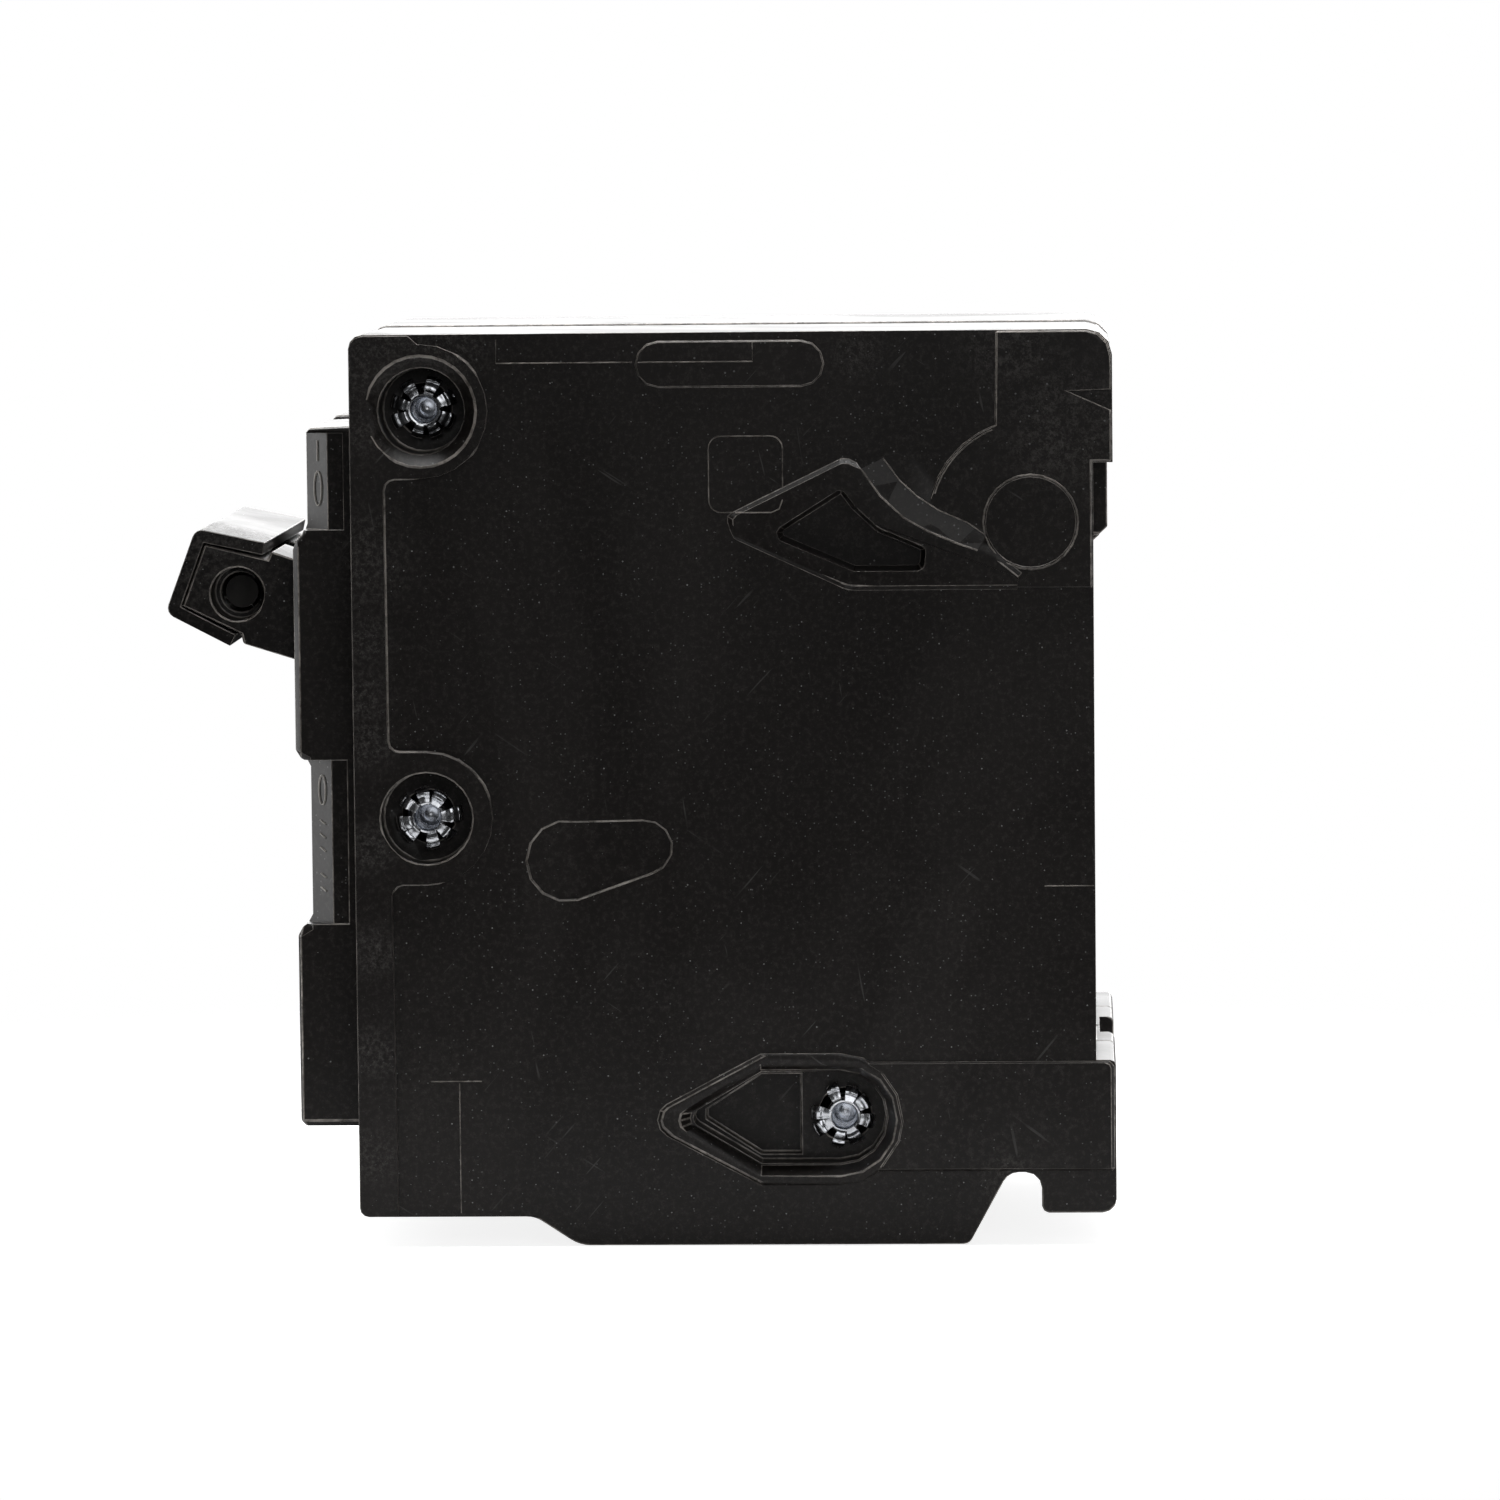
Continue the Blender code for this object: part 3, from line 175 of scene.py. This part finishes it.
def phenolic(name, dark, light, wear, rubbed=()):
    """Moulded phenolic: flow streaks, grain, scuffs, scratches and dust.

    wear is how strongly it is scuffed all over. rubbed lists (point, reach,
    fade) balls in metres, where the skin is scuffed grey.
    """
    g = Graph(name)
    flow = g.noise(32, 4, 0.6, 1.6, g.scaled((1.0, 1.0, 0.4)))
    color = g.blend(g.ramp(flow, 0.38, 0.68), dark, light)
    grain = g.ramp(g.noise(1900, 4, 0.85), 0.46, 0.7, 0.0, 0.55)
    color = g.blend(grain, color, (0.05, 0.045, 0.042))
    mottle = g.ramp(g.noise(2100, 4, 0.8), 0.45, 0.66)
    zone = g.math("MULTIPLY", g.ramp(g.noise(70, 3, 0.6), 0.56, 0.72), wear)
    for point, reach, fade in rubbed:
        zone = g.math("MAXIMUM", zone, g.near(point, reach, fade))
    scuff = g.math("MULTIPLY", zone, mottle)
    color = g.blend(g.math("MULTIPLY", scuff, 0.42), color, (0.112, 0.104, 0.098))
    for turn, length, lot in SCRATCHES:
        spun = g.node("ShaderNodeMapping", vector_type="TEXTURE")
        g.feed(spun.inputs["Vector"], g.coords)
        g.feed(spun.inputs["Location"], (lot * MM, 0, lot * MM))
        g.feed(spun.inputs["Rotation"], (0, turn, 0))
        g.feed(spun.inputs["Scale"], (length * MM, 2 * MM, SCRATCH_SPACING * MM))
        line = g.ramp(g.noise(1.0, 1, 0.5, 0.25, spun.outputs["Vector"]), 0.745, 0.77)
        line = g.math("MULTIPLY", line, g.ramp(g.noise(170, 2), 0.52, 0.64))
        color = g.blend(g.math("MULTIPLY", line, 0.5), color, (0.085, 0.082, 0.08))
    for scale, share, size, shade in DUST:
        distance, lot = g.cells(scale)
        picked = g.node("ShaderNodeSeparateColor")
        g.feed(picked.inputs["Color"], lot)
        limit = g.math("MULTIPLY", picked.outputs["Green"], size)
        speck = g.math("MULTIPLY", g.math("GREATER_THAN", picked.outputs["Red"], 1 - share),
                       g.math("LESS_THAN", distance, limit))
        color = g.blend(speck, color, (shade, shade, shade))
    rough = g.ramp(flow, 0.3, 0.75, 0.3, 0.42)
    rough = g.math("ADD", rough, g.math("MULTIPLY", scuff, 0.15))
    height = g.math("ADD", g.math("MULTIPLY", g.noise(900, 2, 0.5), 0.35), g.noise(160, 3, 0.5))
    height = g.math("ADD", height, g.math("MULTIPLY", scuff, 0.8))
    normal = g.bump(height, PHENOLIC_RELIEF, 0.6)
    return g.finish(color, rough, normal=normal, specular=0.26)


def worn_highlit_edge(name, rubbed):
    """Rounded edges of the mouldings: greyer and smoother in patches, partly rubbed wear and
    partly a painted highlight where the edges catch the light.
    """
    g = Graph(name)
    wear_and_highlight = g.ramp(g.noise(240, 4, 0.75), 0.4, 0.66, 0.3, 1.0)
    for point, reach, fade in rubbed:
        wear_and_highlight = g.math("MAXIMUM", wear_and_highlight, g.near(point, reach, fade))
    wear_and_highlight = g.math("MULTIPLY", wear_and_highlight, g.ramp(g.noise(1300, 3, 0.7), 0.3, 0.55, 0.35, 1.0))
    color = g.blend(wear_and_highlight, (0.03, 0.026, 0.023), (0.36, 0.33, 0.3))
    rough = g.ramp(g.noise(600, 3, 0.6), 0.3, 0.7, 0.2, 0.38)
    return g.finish(color, rough, normal=g.bump(g.noise(1500, 2), SKIN_RELIEF, 0.5))


def plated(name, color, dark, roughness, scale=260, metallic=1.0):
    """Plated metal with faint clouding, fine scratches and stains."""
    g = Graph(name)
    cloud = g.noise(scale, 4, 0.6)
    base = g.blend(g.ramp(cloud, 0.35, 0.75), color, dark)
    lines = g.noise(900, 3, 0.6, 0.2, g.scaled((1.0, 1.0, 0.06)))
    rough = g.math("ADD", g.ramp(lines, 0.3, 0.7, 0.0, 0.14), roughness)
    normal = g.bump(g.math("ADD", g.math("MULTIPLY", lines, 0.5), cloud), SKIN_RELIEF, 0.5)
    return g.finish(base, rough, metallic, normal)


CASE_DEPTH = 66.0           # deck to the back of the case
SIDE_Y = CAD_BOX[0].y       # outermost rims on pole A's side
FACE_Z = 0.5                # depth of the flat side, in from its rims
BOSS_Z = 0.05               # the same, of the flat top of the jaw boss
PANEL_Z = 0.27              # of the low panel around the dimple
PAD_Z = 0.25                # of the long vent pad


def at(u, w, z):
    """World point at distances back from the deck, up, and across from pole A, in mm."""
    return Vector((CAD_BOX[1].x + (u - CASE_DEPTH) * MM, SIDE_Y + z * MM, w * MM))


# Places where the case is rubbed: middle, reach and fade, in metres.
RUBBED_CASE = [(at(1.5, 78.5, 0), 0.002, 0.006), (at(8.5, 79, 0), 0.0015, 0.004),
               (at(62.0, 71.0, 0.3), 0.002, 0.006), (at(57.0, 78.0, 0.3), 0.001, 0.005),
               (at(44.0, 77.6, 0.8), 0.0005, 0.003),
               (at(0.6, 60.0, 0), 0.001, 0.006), (at(0.8, 48.0, 0), 0.0005, 0.004),
               (at(56.5, 5.5, 0.5), 0.001, 0.003)]
RUBBED_CASE += [(at(1.4, w, 0), 0.0007, 0.0028) for w in range(8, 72, 9)]
CASE = phenolic("black_phenolic", (0.0095, 0.0079, 0.0073), (0.0145, 0.0122, 0.0113), 0.22,
                RUBBED_CASE)
HANDLE = phenolic("handle_phenolic", (0.005, 0.0042, 0.0039), (0.0075, 0.0063, 0.006), 0.3,
                  [(at(-14.0, 62.0, 12), 0.003, 0.008)])
# Lighter copy of the case phenolic: painted sheen for the lit slope of the jaw boss.
SLOPE_SHEEN_PHENOLIC = phenolic("painted_sheen_phenolic", (0.026, 0.0245, 0.0235), (0.036, 0.034, 0.033), 0.5)
# Rounded edges and fine lines: rubbed wear plus a painted highlight.
EDGE_WEAR_AND_HIGHLIGHT = worn_highlit_edge("phenolic_edges_worn_and_highlit", RUBBED_CASE)
BAR = phenolic("bar_phenolic", (0.06, 0.045, 0.035), (0.1, 0.075, 0.055), 0.2)
WORN = plated("worn_marks", (0.42, 0.4, 0.37), (0.2, 0.19, 0.17), 0.4, metallic=0.0)
DARK_STEEL = plated("black_oxide_steel", (0.05, 0.048, 0.046), (0.03, 0.03, 0.03), 0.42)
ZINC = plated("bright_zinc", (0.78, 0.8, 0.84), (0.6, 0.62, 0.66), 0.16, 420)
STEEL = plated("plated_steel", (0.5, 0.5, 0.48), (0.33, 0.33, 0.32), 0.34)
SPRING = plated("spring_steel", (0.4, 0.4, 0.41), (0.25, 0.25, 0.26), 0.3)
COPPER = plated("rolled_copper", (0.72, 0.36, 0.22), (0.42, 0.2, 0.12), 0.3)
SILVER = plated("contact_silver", (0.85, 0.84, 0.8), (0.6, 0.58, 0.53), 0.28)
BIMETAL = plated("bimetal_strip", (0.5, 0.46, 0.4), (0.36, 0.32, 0.27), 0.36)
BRASS = plated("plain_brass", (0.72, 0.56, 0.27), (0.46, 0.34, 0.15), 0.3)

FINISH = {
    "line_jaw": COPPER, "jaw_spring": SPRING, "line_strap": COPPER,
    "fixed_contact": SILVER, "arc_chute": STEEL, "magnet_yoke": STEEL,
    "bimetal": BIMETAL, "braid": COPPER, "load_strap": COPPER, "arm_pin": STEEL,
    "contact_arm": COPPER, "moving_contact": SILVER, "cradle": STEEL,
    "toggle_spring": SPRING, "armature": STEEL, "terminal_lug": STEEL,
    "clamp_saddle": BRASS, "terminal_screw": ZINC, "handle_tie_pin": DARK_STEEL,
    "trip_bar": BAR, "rivet_top": ZINC, "rivet_front": ZINC, "rivet_foot": ZINC,
}


def body_of(node):
    """Name of the body that a CAD node rides on."""
    for body, members in frame["record"]["behaviour"]["bodies"].items():
        if node in members:
            return body
    return None


def paint(item, *materials):
    """Give a piece these material slots, all faces on the first."""
    item.data.materials.clear()
    for material in materials:
        item.data.materials.append(material)
    for face in item.data.polygons:
        face.material_index = 0


# ---------------------------------------------------------------- mouldings

EDGE_ROUND = 0.15 * MM      # width of a rounded moulding edge
MERGE = 0.02 * MM           # slivers shorter than this are welded first
SHARP = math.radians(24)    # edges turning more than this are rounded
ROOM = 3.1                  # widths of flat that a full rounding needs beside it
NEEDLE = math.radians(22)   # corners narrower than this stay sharp


def gap(point, edge):
    """Distance from a point to an edge."""
    first, second = (vertex.co for vertex in edge.verts)
    share = (point - first).dot(second - first) / max((second - first).length_squared, 1e-18)
    return (point - first.lerp(second, min(max(share, 0.0), 1.0))).length


def edge_room(edge):
    """How much flat there is beside and along an edge."""
    room = edge.calc_length()
    middle = (edge.verts[0].co + edge.verts[1].co) / 2
    for face in edge.link_faces:
        for other in face.edges:
            if not set(other.verts) & set(edge.verts):
                room = min(room, *(gap(point, other) for point in
                                   (middle, edge.verts[0].co, edge.verts[1].co)),
                           *(gap(vertex.co, edge) for vertex in other.verts))
    return room


def edged_copy(node, slot_name, *materials):
    """Copy of a CAD node with rounded edges, in its place and instead of it."""
    data = frame["nodes"][node].data.copy()
    work = bmesh.new()
    work.from_mesh(data)
    bmesh.ops.remove_doubles(work, verts=work.verts, dist=MERGE)
    bmesh.ops.dissolve_limit(work, angle_limit=math.radians(1.5), verts=work.verts,
                             edges=work.edges)
    bmesh.ops.dissolve_degenerate(work, edges=work.edges, dist=MERGE)
    weight = work.edges.layers.float.new("bevel_weight_edge")
    rooms = {edge: edge_room(edge) for edge in work.edges}
    space = {vertex: min(rooms[edge] for edge in vertex.link_edges)
             for vertex in work.verts}
    for vertex in work.verts:
        if min(loop.calc_angle() for loop in vertex.link_loops) < NEEDLE:
            space[vertex] = 0.0
    for edge in work.edges:
        if edge.calc_face_angle(0) > SHARP:
            room = min(space[vertex] for vertex in edge.verts)
            edge[weight] = min(1.0, room / (ROOM * EDGE_ROUND))
    work.to_mesh(data)
    work.free()
    item = bpy.data.objects.new(node + "_piece", data)
    bpy.context.scene.collection.objects.link(item)
    paint(item, *materials)
    data.shade_smooth()
    round_edges = item.modifiers.new("round_edges", "BEVEL")
    round_edges.width = EDGE_ROUND
    round_edges.segments = 2
    round_edges.limit_method = "WEIGHT"
    round_edges.use_clamp_overlap = False
    # the rounded edge faces take the last material, with its painted highlight
    round_edges.material = len(materials) - 1
    flat = item.modifiers.new("flat_faces", "WEIGHTED_NORMAL")
    flat.weight = 100
    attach(item, body_of(node))
    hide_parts(node)


for pole in POLES:
    edged_copy("cover_" + pole, "case_plastic", CASE, EDGE_WEAR_AND_HIGHLIGHT)
    edged_copy("base_" + pole, "case_plastic", CASE, EDGE_WEAR_AND_HIGHLIGHT)
    edged_copy("handle_" + pole, "handle_plastic", HANDLE, EDGE_WEAR_AND_HIGHLIGHT)
edged_copy("handle_cap", "handle_plastic", HANDLE, EDGE_WEAR_AND_HIGHLIGHT)


# ---------------------------------------------------------------- rivets

PETALS = 8
BORE = 1.2                  # mm, radius at which the tabs leave the tube
LIP_DEPTH = 0.22            # mm, from the rivet's end to the tabs' roots


def revolve(work, profile, centre, steps):
    """Turned surface about the line across the breaker through centre."""
    rings = []
    for step in range(steps):
        angle = 2 * math.pi * step / steps
        rings.append([work.verts.new((centre.x + radius * math.cos(angle) * MM,
                                      centre.y + depth * MM,
                                      centre.z + radius * math.sin(angle) * MM))
                      for radius, depth in profile])
    for ring, after in zip(rings, rings[1:] + rings[:1]):
        for index in range(len(profile) - 1):
            work.faces.new((ring[index], ring[index + 1], after[index + 1], after[index]))


def petal(work, centre, middle, half, reach, curl, draw):
    """One splayed tab: a ribbed strip that rolls out of the tube and back down.

    middle and half are its angle and half width in radians, reach and curl its
    lengths out and down in mm, and draw varies its ribs and its twist.
    """
    along = 15
    across = 7
    grid = []
    for row in range(along):
        share = row / (along - 1)
        radius = BORE + reach * math.sin(share * math.pi * 0.5)
        depth = curl * share ** 2.4 - 0.16 * math.sin(share * math.pi)
        ripple = 0.1 * math.sin(share * 15 + draw * 6)
        width = half * (0.96 + 0.12 * math.sin(share * math.pi)) / (0.72 + 0.28 * radius)
        line = []
        for column in range(across):
            side = 2 * column / (across - 1) - 1
            angle = middle + side * width + 0.16 * share * (draw - 0.5)
            sag = (0.1 * side * side + 0.05 * math.sin(side * 5 + draw * 9)) * share
            line.append(work.verts.new((
                centre.x + (radius + ripple * 0.5) * math.cos(angle) * MM,
                centre.y + (depth + sag + ripple) * MM,
                centre.z + (radius + ripple * 0.5) * math.sin(angle) * MM)))
        grid.append(line)
    for row in range(along - 1):
        for column in range(across - 1):
            work.faces.new((grid[row][column], grid[row][column + 1],
                            grid[row + 1][column + 1], grid[row + 1][column]))


def add_piece(name, work, body, slot_name, *materials):
    """Object from a bmesh, riding on a body, with materials; slot_name is not used."""
    data = bpy.data.meshes.new(name)
    work.to_mesh(data)
    work.free()
    item = bpy.data.objects.new(name, data)
    bpy.context.scene.collection.objects.link(item)
    paint(item, *materials)
    data.shade_smooth()
    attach(item, body)
    return item


def rivet(node, seed, spread):
    """Tubular rivet: domed head, shank, and a rosette of curled tabs."""
    low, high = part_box(node)
    centre = (low + high) / 2
    start = Vector((centre.x, low.y, centre.z))
    length = (high.y - low.y) / MM
    rng = random.Random(seed)
    work = bmesh.new()
    profile = [(0, 4.6), (0.7, 4.4), (1.0, 3.9), (1.02, 0.9), (1.1, 0.35), (1.22, 0.12),
               (1.36, 0.1), (1.52, 0.3), (1.6, 0.7), (1.9, 1.4), (1.9, length - 1.2),
               (3.5, length - 1.2), (3.56, length - 0.9), (3.45, length - 0.5),
               (2.9, length - 0.2), (1.8, length - 0.04), (1.5, length - 0.12),
               (0, length - 0.1)]
    revolve(work, profile, start, 40)
    bmesh.ops.remove_doubles(work, verts=work.verts, dist=0.001 * MM)
    bmesh.ops.recalc_face_normals(work, faces=work.faces)
    body = add_piece(node + "_tube", work, "housing", "bright_zinc", ZINC)
    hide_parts(node)
    body.data.set_sharp_from_angle(angle=math.radians(50))
    tabs = bmesh.new()
    lip = start + Vector((0, LIP_DEPTH * MM, 0))
    for index in range(PETALS):
        middle = 2 * math.pi * (index + 0.3 * rng.random()) / PETALS + 0.4 * seed
        petal(tabs, lip, middle, rng.uniform(0.28, 0.36), rng.uniform(0.9, 1.35) * spread,
              rng.uniform(0.2, 1.1), rng.random())
    item = add_piece(node + "_tabs", tabs, "housing", "bright_zinc", ZINC)
    thick = item.modifiers.new("thickness", "SOLIDIFY")
    thick.thickness = 0.26 * MM
    thick.offset = 0
    soft = item.modifiers.new("worn", "BEVEL")
    soft.width = 0.05 * MM
    soft.segments = 1
    soft.limit_method = "ANGLE"
    fine = item.modifiers.new("fine", "SUBSURF")
    fine.levels = 1
    fine.render_levels = 1


rivet("rivet_top", 1, 1.3)
rivet("rivet_front", 2, 1.35)
rivet("rivet_foot", 3, 1.3)


# ---------------------------------------------------------------- fine relief

LINE_WIDTH = 0.17           # mm, of the fine raised lines on the side
WIDE_LINE = 0.26
LINE_HEIGHT = 0.07
MARK_HEIGHT = 0.12          # mm, of the raised marks in the label windows
MARK_WIDTH = 0.24
STROKE = 0.35               # mm, half the length of a short stroke
STROKE_PLACES = (36.6, 35.4, 34.2, 31.9, 30.7)
# Crest and foot of the slope on the jaw boss.
BOSS_SLOPE = (((44.3, 67.6), (46.2, 68.5)), ((45.9, 65.3), (47.6, 66.6)),
              ((47.9, 63.4), (49.1, 65.2)), ((50.0, 62.2), (50.9, 64.0)),
              ((52.6, 61.1), (53.4, 62.9)), ((54.3, 60.5), (55.0, 61.8)))
DIMPLE = (58.9, 62.9)       # middle of the round dimple by the jaw
SHEEN_LIFT = 0.02            # mm, of the painted sheen sheet over the slope
SHEEN_THICKNESS = 0.1
LABEL_U = -3.2              # middle of the sloping label faces
LABEL_Z = 5.3               # the same, in from the pole's own side
POLE_START = {"a": 0.0, "b": 25.4}
CREASE = math.radians(30)   # relief edges turning more than this look sharp


def skin(work, rows, closed=False):
    """Solid through rows of four vertices, joined end to end if closed."""
    pairs = list(zip(rows, rows[1:]))
    if closed:
        pairs.append((rows[-1], rows[0]))
    else:
        work.faces.new(rows[0][::-1])
        work.faces.new(rows[-1])
    for ring, following in pairs:
        for index in range(4):
            turn = (index + 1) % 4
            work.faces.new((ring[index], ring[turn], following[turn], following[index]))
    bmesh.ops.recalc_face_normals(work, faces=work.faces)


def raised_line(work, path, across, lift, width, closed=False):
    """Solid ridge along a path of world points, raised along lift."""
    rows = []
    count = len(path)
    for index, here in enumerate(path):
        before = path[index - 1] if closed or index else here
        after = path[(index + 1) % count] if closed or index < count - 1 else here
        side = (after - before).normalized().cross(across) * width / 2
        rows.append([work.verts.new(point) for point in
                     (here + side - lift, here + side * 0.3 + lift,
                      here - side * 0.3 + lift, here - side - lift)])
    skin(work, rows, closed)


def side_line(name, path, closed=False, depth=FACE_Z, width=LINE_WIDTH):
    """Fine raised line on pole A's side through (u, w) points, at a depth, in mm; it carries
    the edges' rubbed wear and painted highlight.
    """
    work = bmesh.new()
    points = [at(u, w, depth) for u, w in path]
    out = Vector((0, -LINE_HEIGHT * MM, 0))
    raised_line(work, points, Vector((0, 1, 0)), out, width * MM, closed)
    item = add_piece(name, work, "housing", "case_plastic", EDGE_WEAR_AND_HIGHLIGHT)
    item.data.set_sharp_from_angle(angle=CREASE)


def arc_path(centre, radius, start, end, steps):
    """(u, w) points along an arc, angles in degrees."""
    angles = [math.radians(start + (end - start) * step / steps) for step in range(steps + 1)]
    return [(centre[0] + radius * math.cos(angle), centre[1] + radius * math.sin(angle))
            for angle in angles]


def rounded_square(low, high, radius):
    """(u, w) outline of a rounded rectangle."""
    path = []
    for index, (u, w) in enumerate(((high[0], high[1]), (low[0], high[1]),
                                    (low[0], low[1]), (high[0], low[1]))):
        inward = (-1 if u == high[0] else 1, -1 if w == high[1] else 1)
        centre = (u + inward[0] * radius, w + inward[1] * radius)
        path += arc_path(centre, radius, 90 * index, 90 * index + 90, 5)
    return path


side_line("catalogue_panel_line", [(12.8, 79.0), (12.8, 76.95), (24.6, 76.95)])
side_line("catalogue_pad_line", [(25.1, 76.95), (35.0, 76.95), (35.0, 78.6)], depth=PAD_Z)
side_line("boss_crest_line", [crest for crest, foot in BOSS_SLOPE], depth=BOSS_Z,
          width=WIDE_LINE)
side_line("boss_foot_line", [foot for crest, foot in BOSS_SLOPE], depth=PANEL_Z, width=0.2)
side_line("jaw_dimple_ring", arc_path(DIMPLE, 4.1, 0, 345, 23), closed=True,
          depth=PANEL_Z, width=WIDE_LINE)
side_line("panel_arc_line", arc_path(DIMPLE, 8.62, 112, 163, 9), depth=PANEL_Z, width=0.2)
side_line("cavity_mark_line", rounded_square((31.1, 63.9), (37.5, 70.5), 1.05), closed=True)
side_line("cavity_mark_on_boss", [(33.4, 63.9), (36.5, 63.9), (37.2, 64.2), (37.5, 65.0)],
          depth=BOSS_Z)
side_line("parting_line", [(59.9, 31.3), (64.2, 31.3)])
side_line("strip_gauge_cross_line", [(6.35, 14.46), (10.8, 14.46)])
side_line("strip_gauge_line", [(8.86, 14.3), (8.86, 2.9)])


def painted_sheen_band():
    """Lighter sheet on the jaw boss's slope, between its crest and its foot: a painted sheen
    where the slope faces the light.
    """
    work = bmesh.new()
    crest_z = BOSS_Z - SHEEN_LIFT
    foot_z = PANEL_Z - SHEEN_LIFT
    rows = [[work.verts.new(point) for point in
             (at(*crest, crest_z), at(*foot, foot_z),
              at(*foot, foot_z + SHEEN_THICKNESS), at(*crest, crest_z + SHEEN_THICKNESS))]
            for crest, foot in BOSS_SLOPE]
    skin(work, rows)
    item = add_piece("boss_slope_painted_sheen", work, "housing", "case_plastic", SLOPE_SHEEN_PHENOLIC)
    item.data.set_sharp_from_angle(angle=CREASE)


painted_sheen_band()


def ring_path(middle, tall, wide):
    """Closed oval of (across, w) points."""
    return [(wide / 2 * math.cos(math.radians(angle)),
             middle + tall / 2 * math.sin(math.radians(angle)))
            for angle in range(0, 360, 20)]


def label_marks(pole):
    """Raised 1, 0 and short strokes on the sloping label faces of one pole."""
    shapes = [(ring_path(66.0, 3.0, 1.0), True), ([(0, 68.4), (0, 70.2)], False),
              (ring_path(39.6, 2.6, 0.9), True)]
    shapes += [([(-STROKE, w), (STROKE, w + STROKE)], False) for w in STROKE_PLACES]
    out = Vector((-1, -1, 0)).normalized()
    along = Vector((-1, 1, 0)).normalized()
    work = bmesh.new()
    for path, closed in shapes:
        points = [at(LABEL_U, w, POLE_START[pole] + LABEL_Z) + along * across * MM
                  for across, w in path]
        raised_line(work, points, out, out * MARK_HEIGHT * MM, MARK_WIDTH * MM, closed)
    item = add_piece("label_marks_" + pole, work, "housing", "case_plastic", WORN)
    item.data.set_sharp_from_angle(angle=CREASE)


for pole in POLES:
    label_marks(pole)


# ---------------------------------------------------------------- CAD nodes

for name, item in frame["nodes"].items():
    family = name[:-2] if name[-2:] in ("_a", "_b") else name
    if family in FINISH:
        paint(item, FINISH[family])


# ---------------------------------------------------------------- stage

CAMERA_PLACE = (0.03694, -0.69463, 0.10143)
CAMERA_TURN = (85.043, 0.557, 2.269)     # degrees about X, Y, Z
CAMERA_LENS = 186.35                     # mm, on a 36 mm sensor
FLOOR_FADE = (0.06, 0.16)                # metres from the breaker
FLOOR_GLOW = 0.85                        # lifts the shadow that the camera sees
FAINT = 0.03                             # light from the surroundings


def add_camera():
    """Long-lens camera, a little above the breaker and to the panel's side."""
    data = bpy.data.cameras.new("camera")
    data.lens = CAMERA_LENS
    data.sensor_width = 36
    data.clip_start = 0.01
    data.clip_end = 20
    item = bpy.data.objects.new("camera", data)
    item.location = CAMERA_PLACE
    item.rotation_euler = [math.radians(angle) for angle in CAMERA_TURN]
    bpy.context.scene.collection.objects.link(item)
    bpy.context.scene.camera = item


def add_softbox(name, place, size, power):
    """Rectangular light at a place from the breaker's middle, and facing it."""
    data = bpy.data.lights.new(name, "AREA")
    data.shape = "RECTANGLE"
    data.size, data.size_y = size
    data.energy = power
    item = bpy.data.objects.new(name, data)
    item.location = CENTRE + Vector(place)
    item.rotation_euler = (-Vector(place)).to_track_quat("-Z", "Y").to_euler()
    item.visible_camera = False
    bpy.context.scene.collection.objects.link(item)


def add_floor():
    """Pale round floor that fades into the white surroundings."""
    g = Graph("pale_floor")
    g.finish((0.5, 0.5, 0.5), 0.7)
    g.shader.inputs["Emission Color"].default_value = (1, 1, 1, 1)
    seen = g.node("ShaderNodeLightPath").outputs["Is Camera Ray"]
    g.feed(g.shader.inputs["Emission Strength"], g.math("MULTIPLY", seen, FLOOR_GLOW))
    distance = g.node("ShaderNodeVectorMath", operation="LENGTH")
    g.feed(distance.inputs[0], g.coords)
    g.feed(g.shader.inputs["Alpha"],
           g.ramp(distance.outputs["Value"], FLOOR_FADE[0], FLOOR_FADE[1], 1.0, 0.0))
    data = bpy.data.meshes.new("floor")
    work = bmesh.new()
    bmesh.ops.create_circle(work, cap_ends=True, segments=96, radius=FLOOR_FADE[1] + 0.05)
    work.to_mesh(data)
    work.free()
    item = bpy.data.objects.new("floor", data)
    item.location = (0, 0, CAD_BOX[0].z - 0.0001)
    data.materials.append(g.material)
    bpy.context.scene.collection.objects.link(item)


def add_world():
    """White surroundings that light the breaker only faintly."""
    world = bpy.data.worlds.new("studio")
    world.use_nodes = True
    tree = world.node_tree
    back = tree.nodes["Background"]
    back.inputs["Color"].default_value = (1, 1, 1, 1)
    ray = tree.nodes.new("ShaderNodeLightPath")
    level = tree.nodes.new("ShaderNodeMapRange")
    level.inputs["To Min"].default_value = FAINT
    level.inputs["To Max"].default_value = 1.0
    tree.links.new(ray.outputs["Is Camera Ray"], level.inputs["Value"])
    tree.links.new(level.outputs["Result"], back.inputs["Strength"])
    bpy.context.scene.world = world


add_camera()
add_world()
add_floor()
add_softbox("top_light", (0.0, 0.02, 0.5), (0.5, 0.22), 5.5)
add_softbox("back_light", (0.0, 0.8, 0.22), (1.3, 0.5), 7)
add_softbox("left_light", (-0.7, 0.12, 0.12), (0.16, 0.5), 2.2)
add_softbox("right_light", (0.7, 0.05, 0.12), (0.16, 0.5), 1.6)
add_softbox("front_light", (0.28, -0.85, 0.32), (0.8, 0.55), 1.7)
bpy.context.scene.view_settings.view_transform = "Standard"
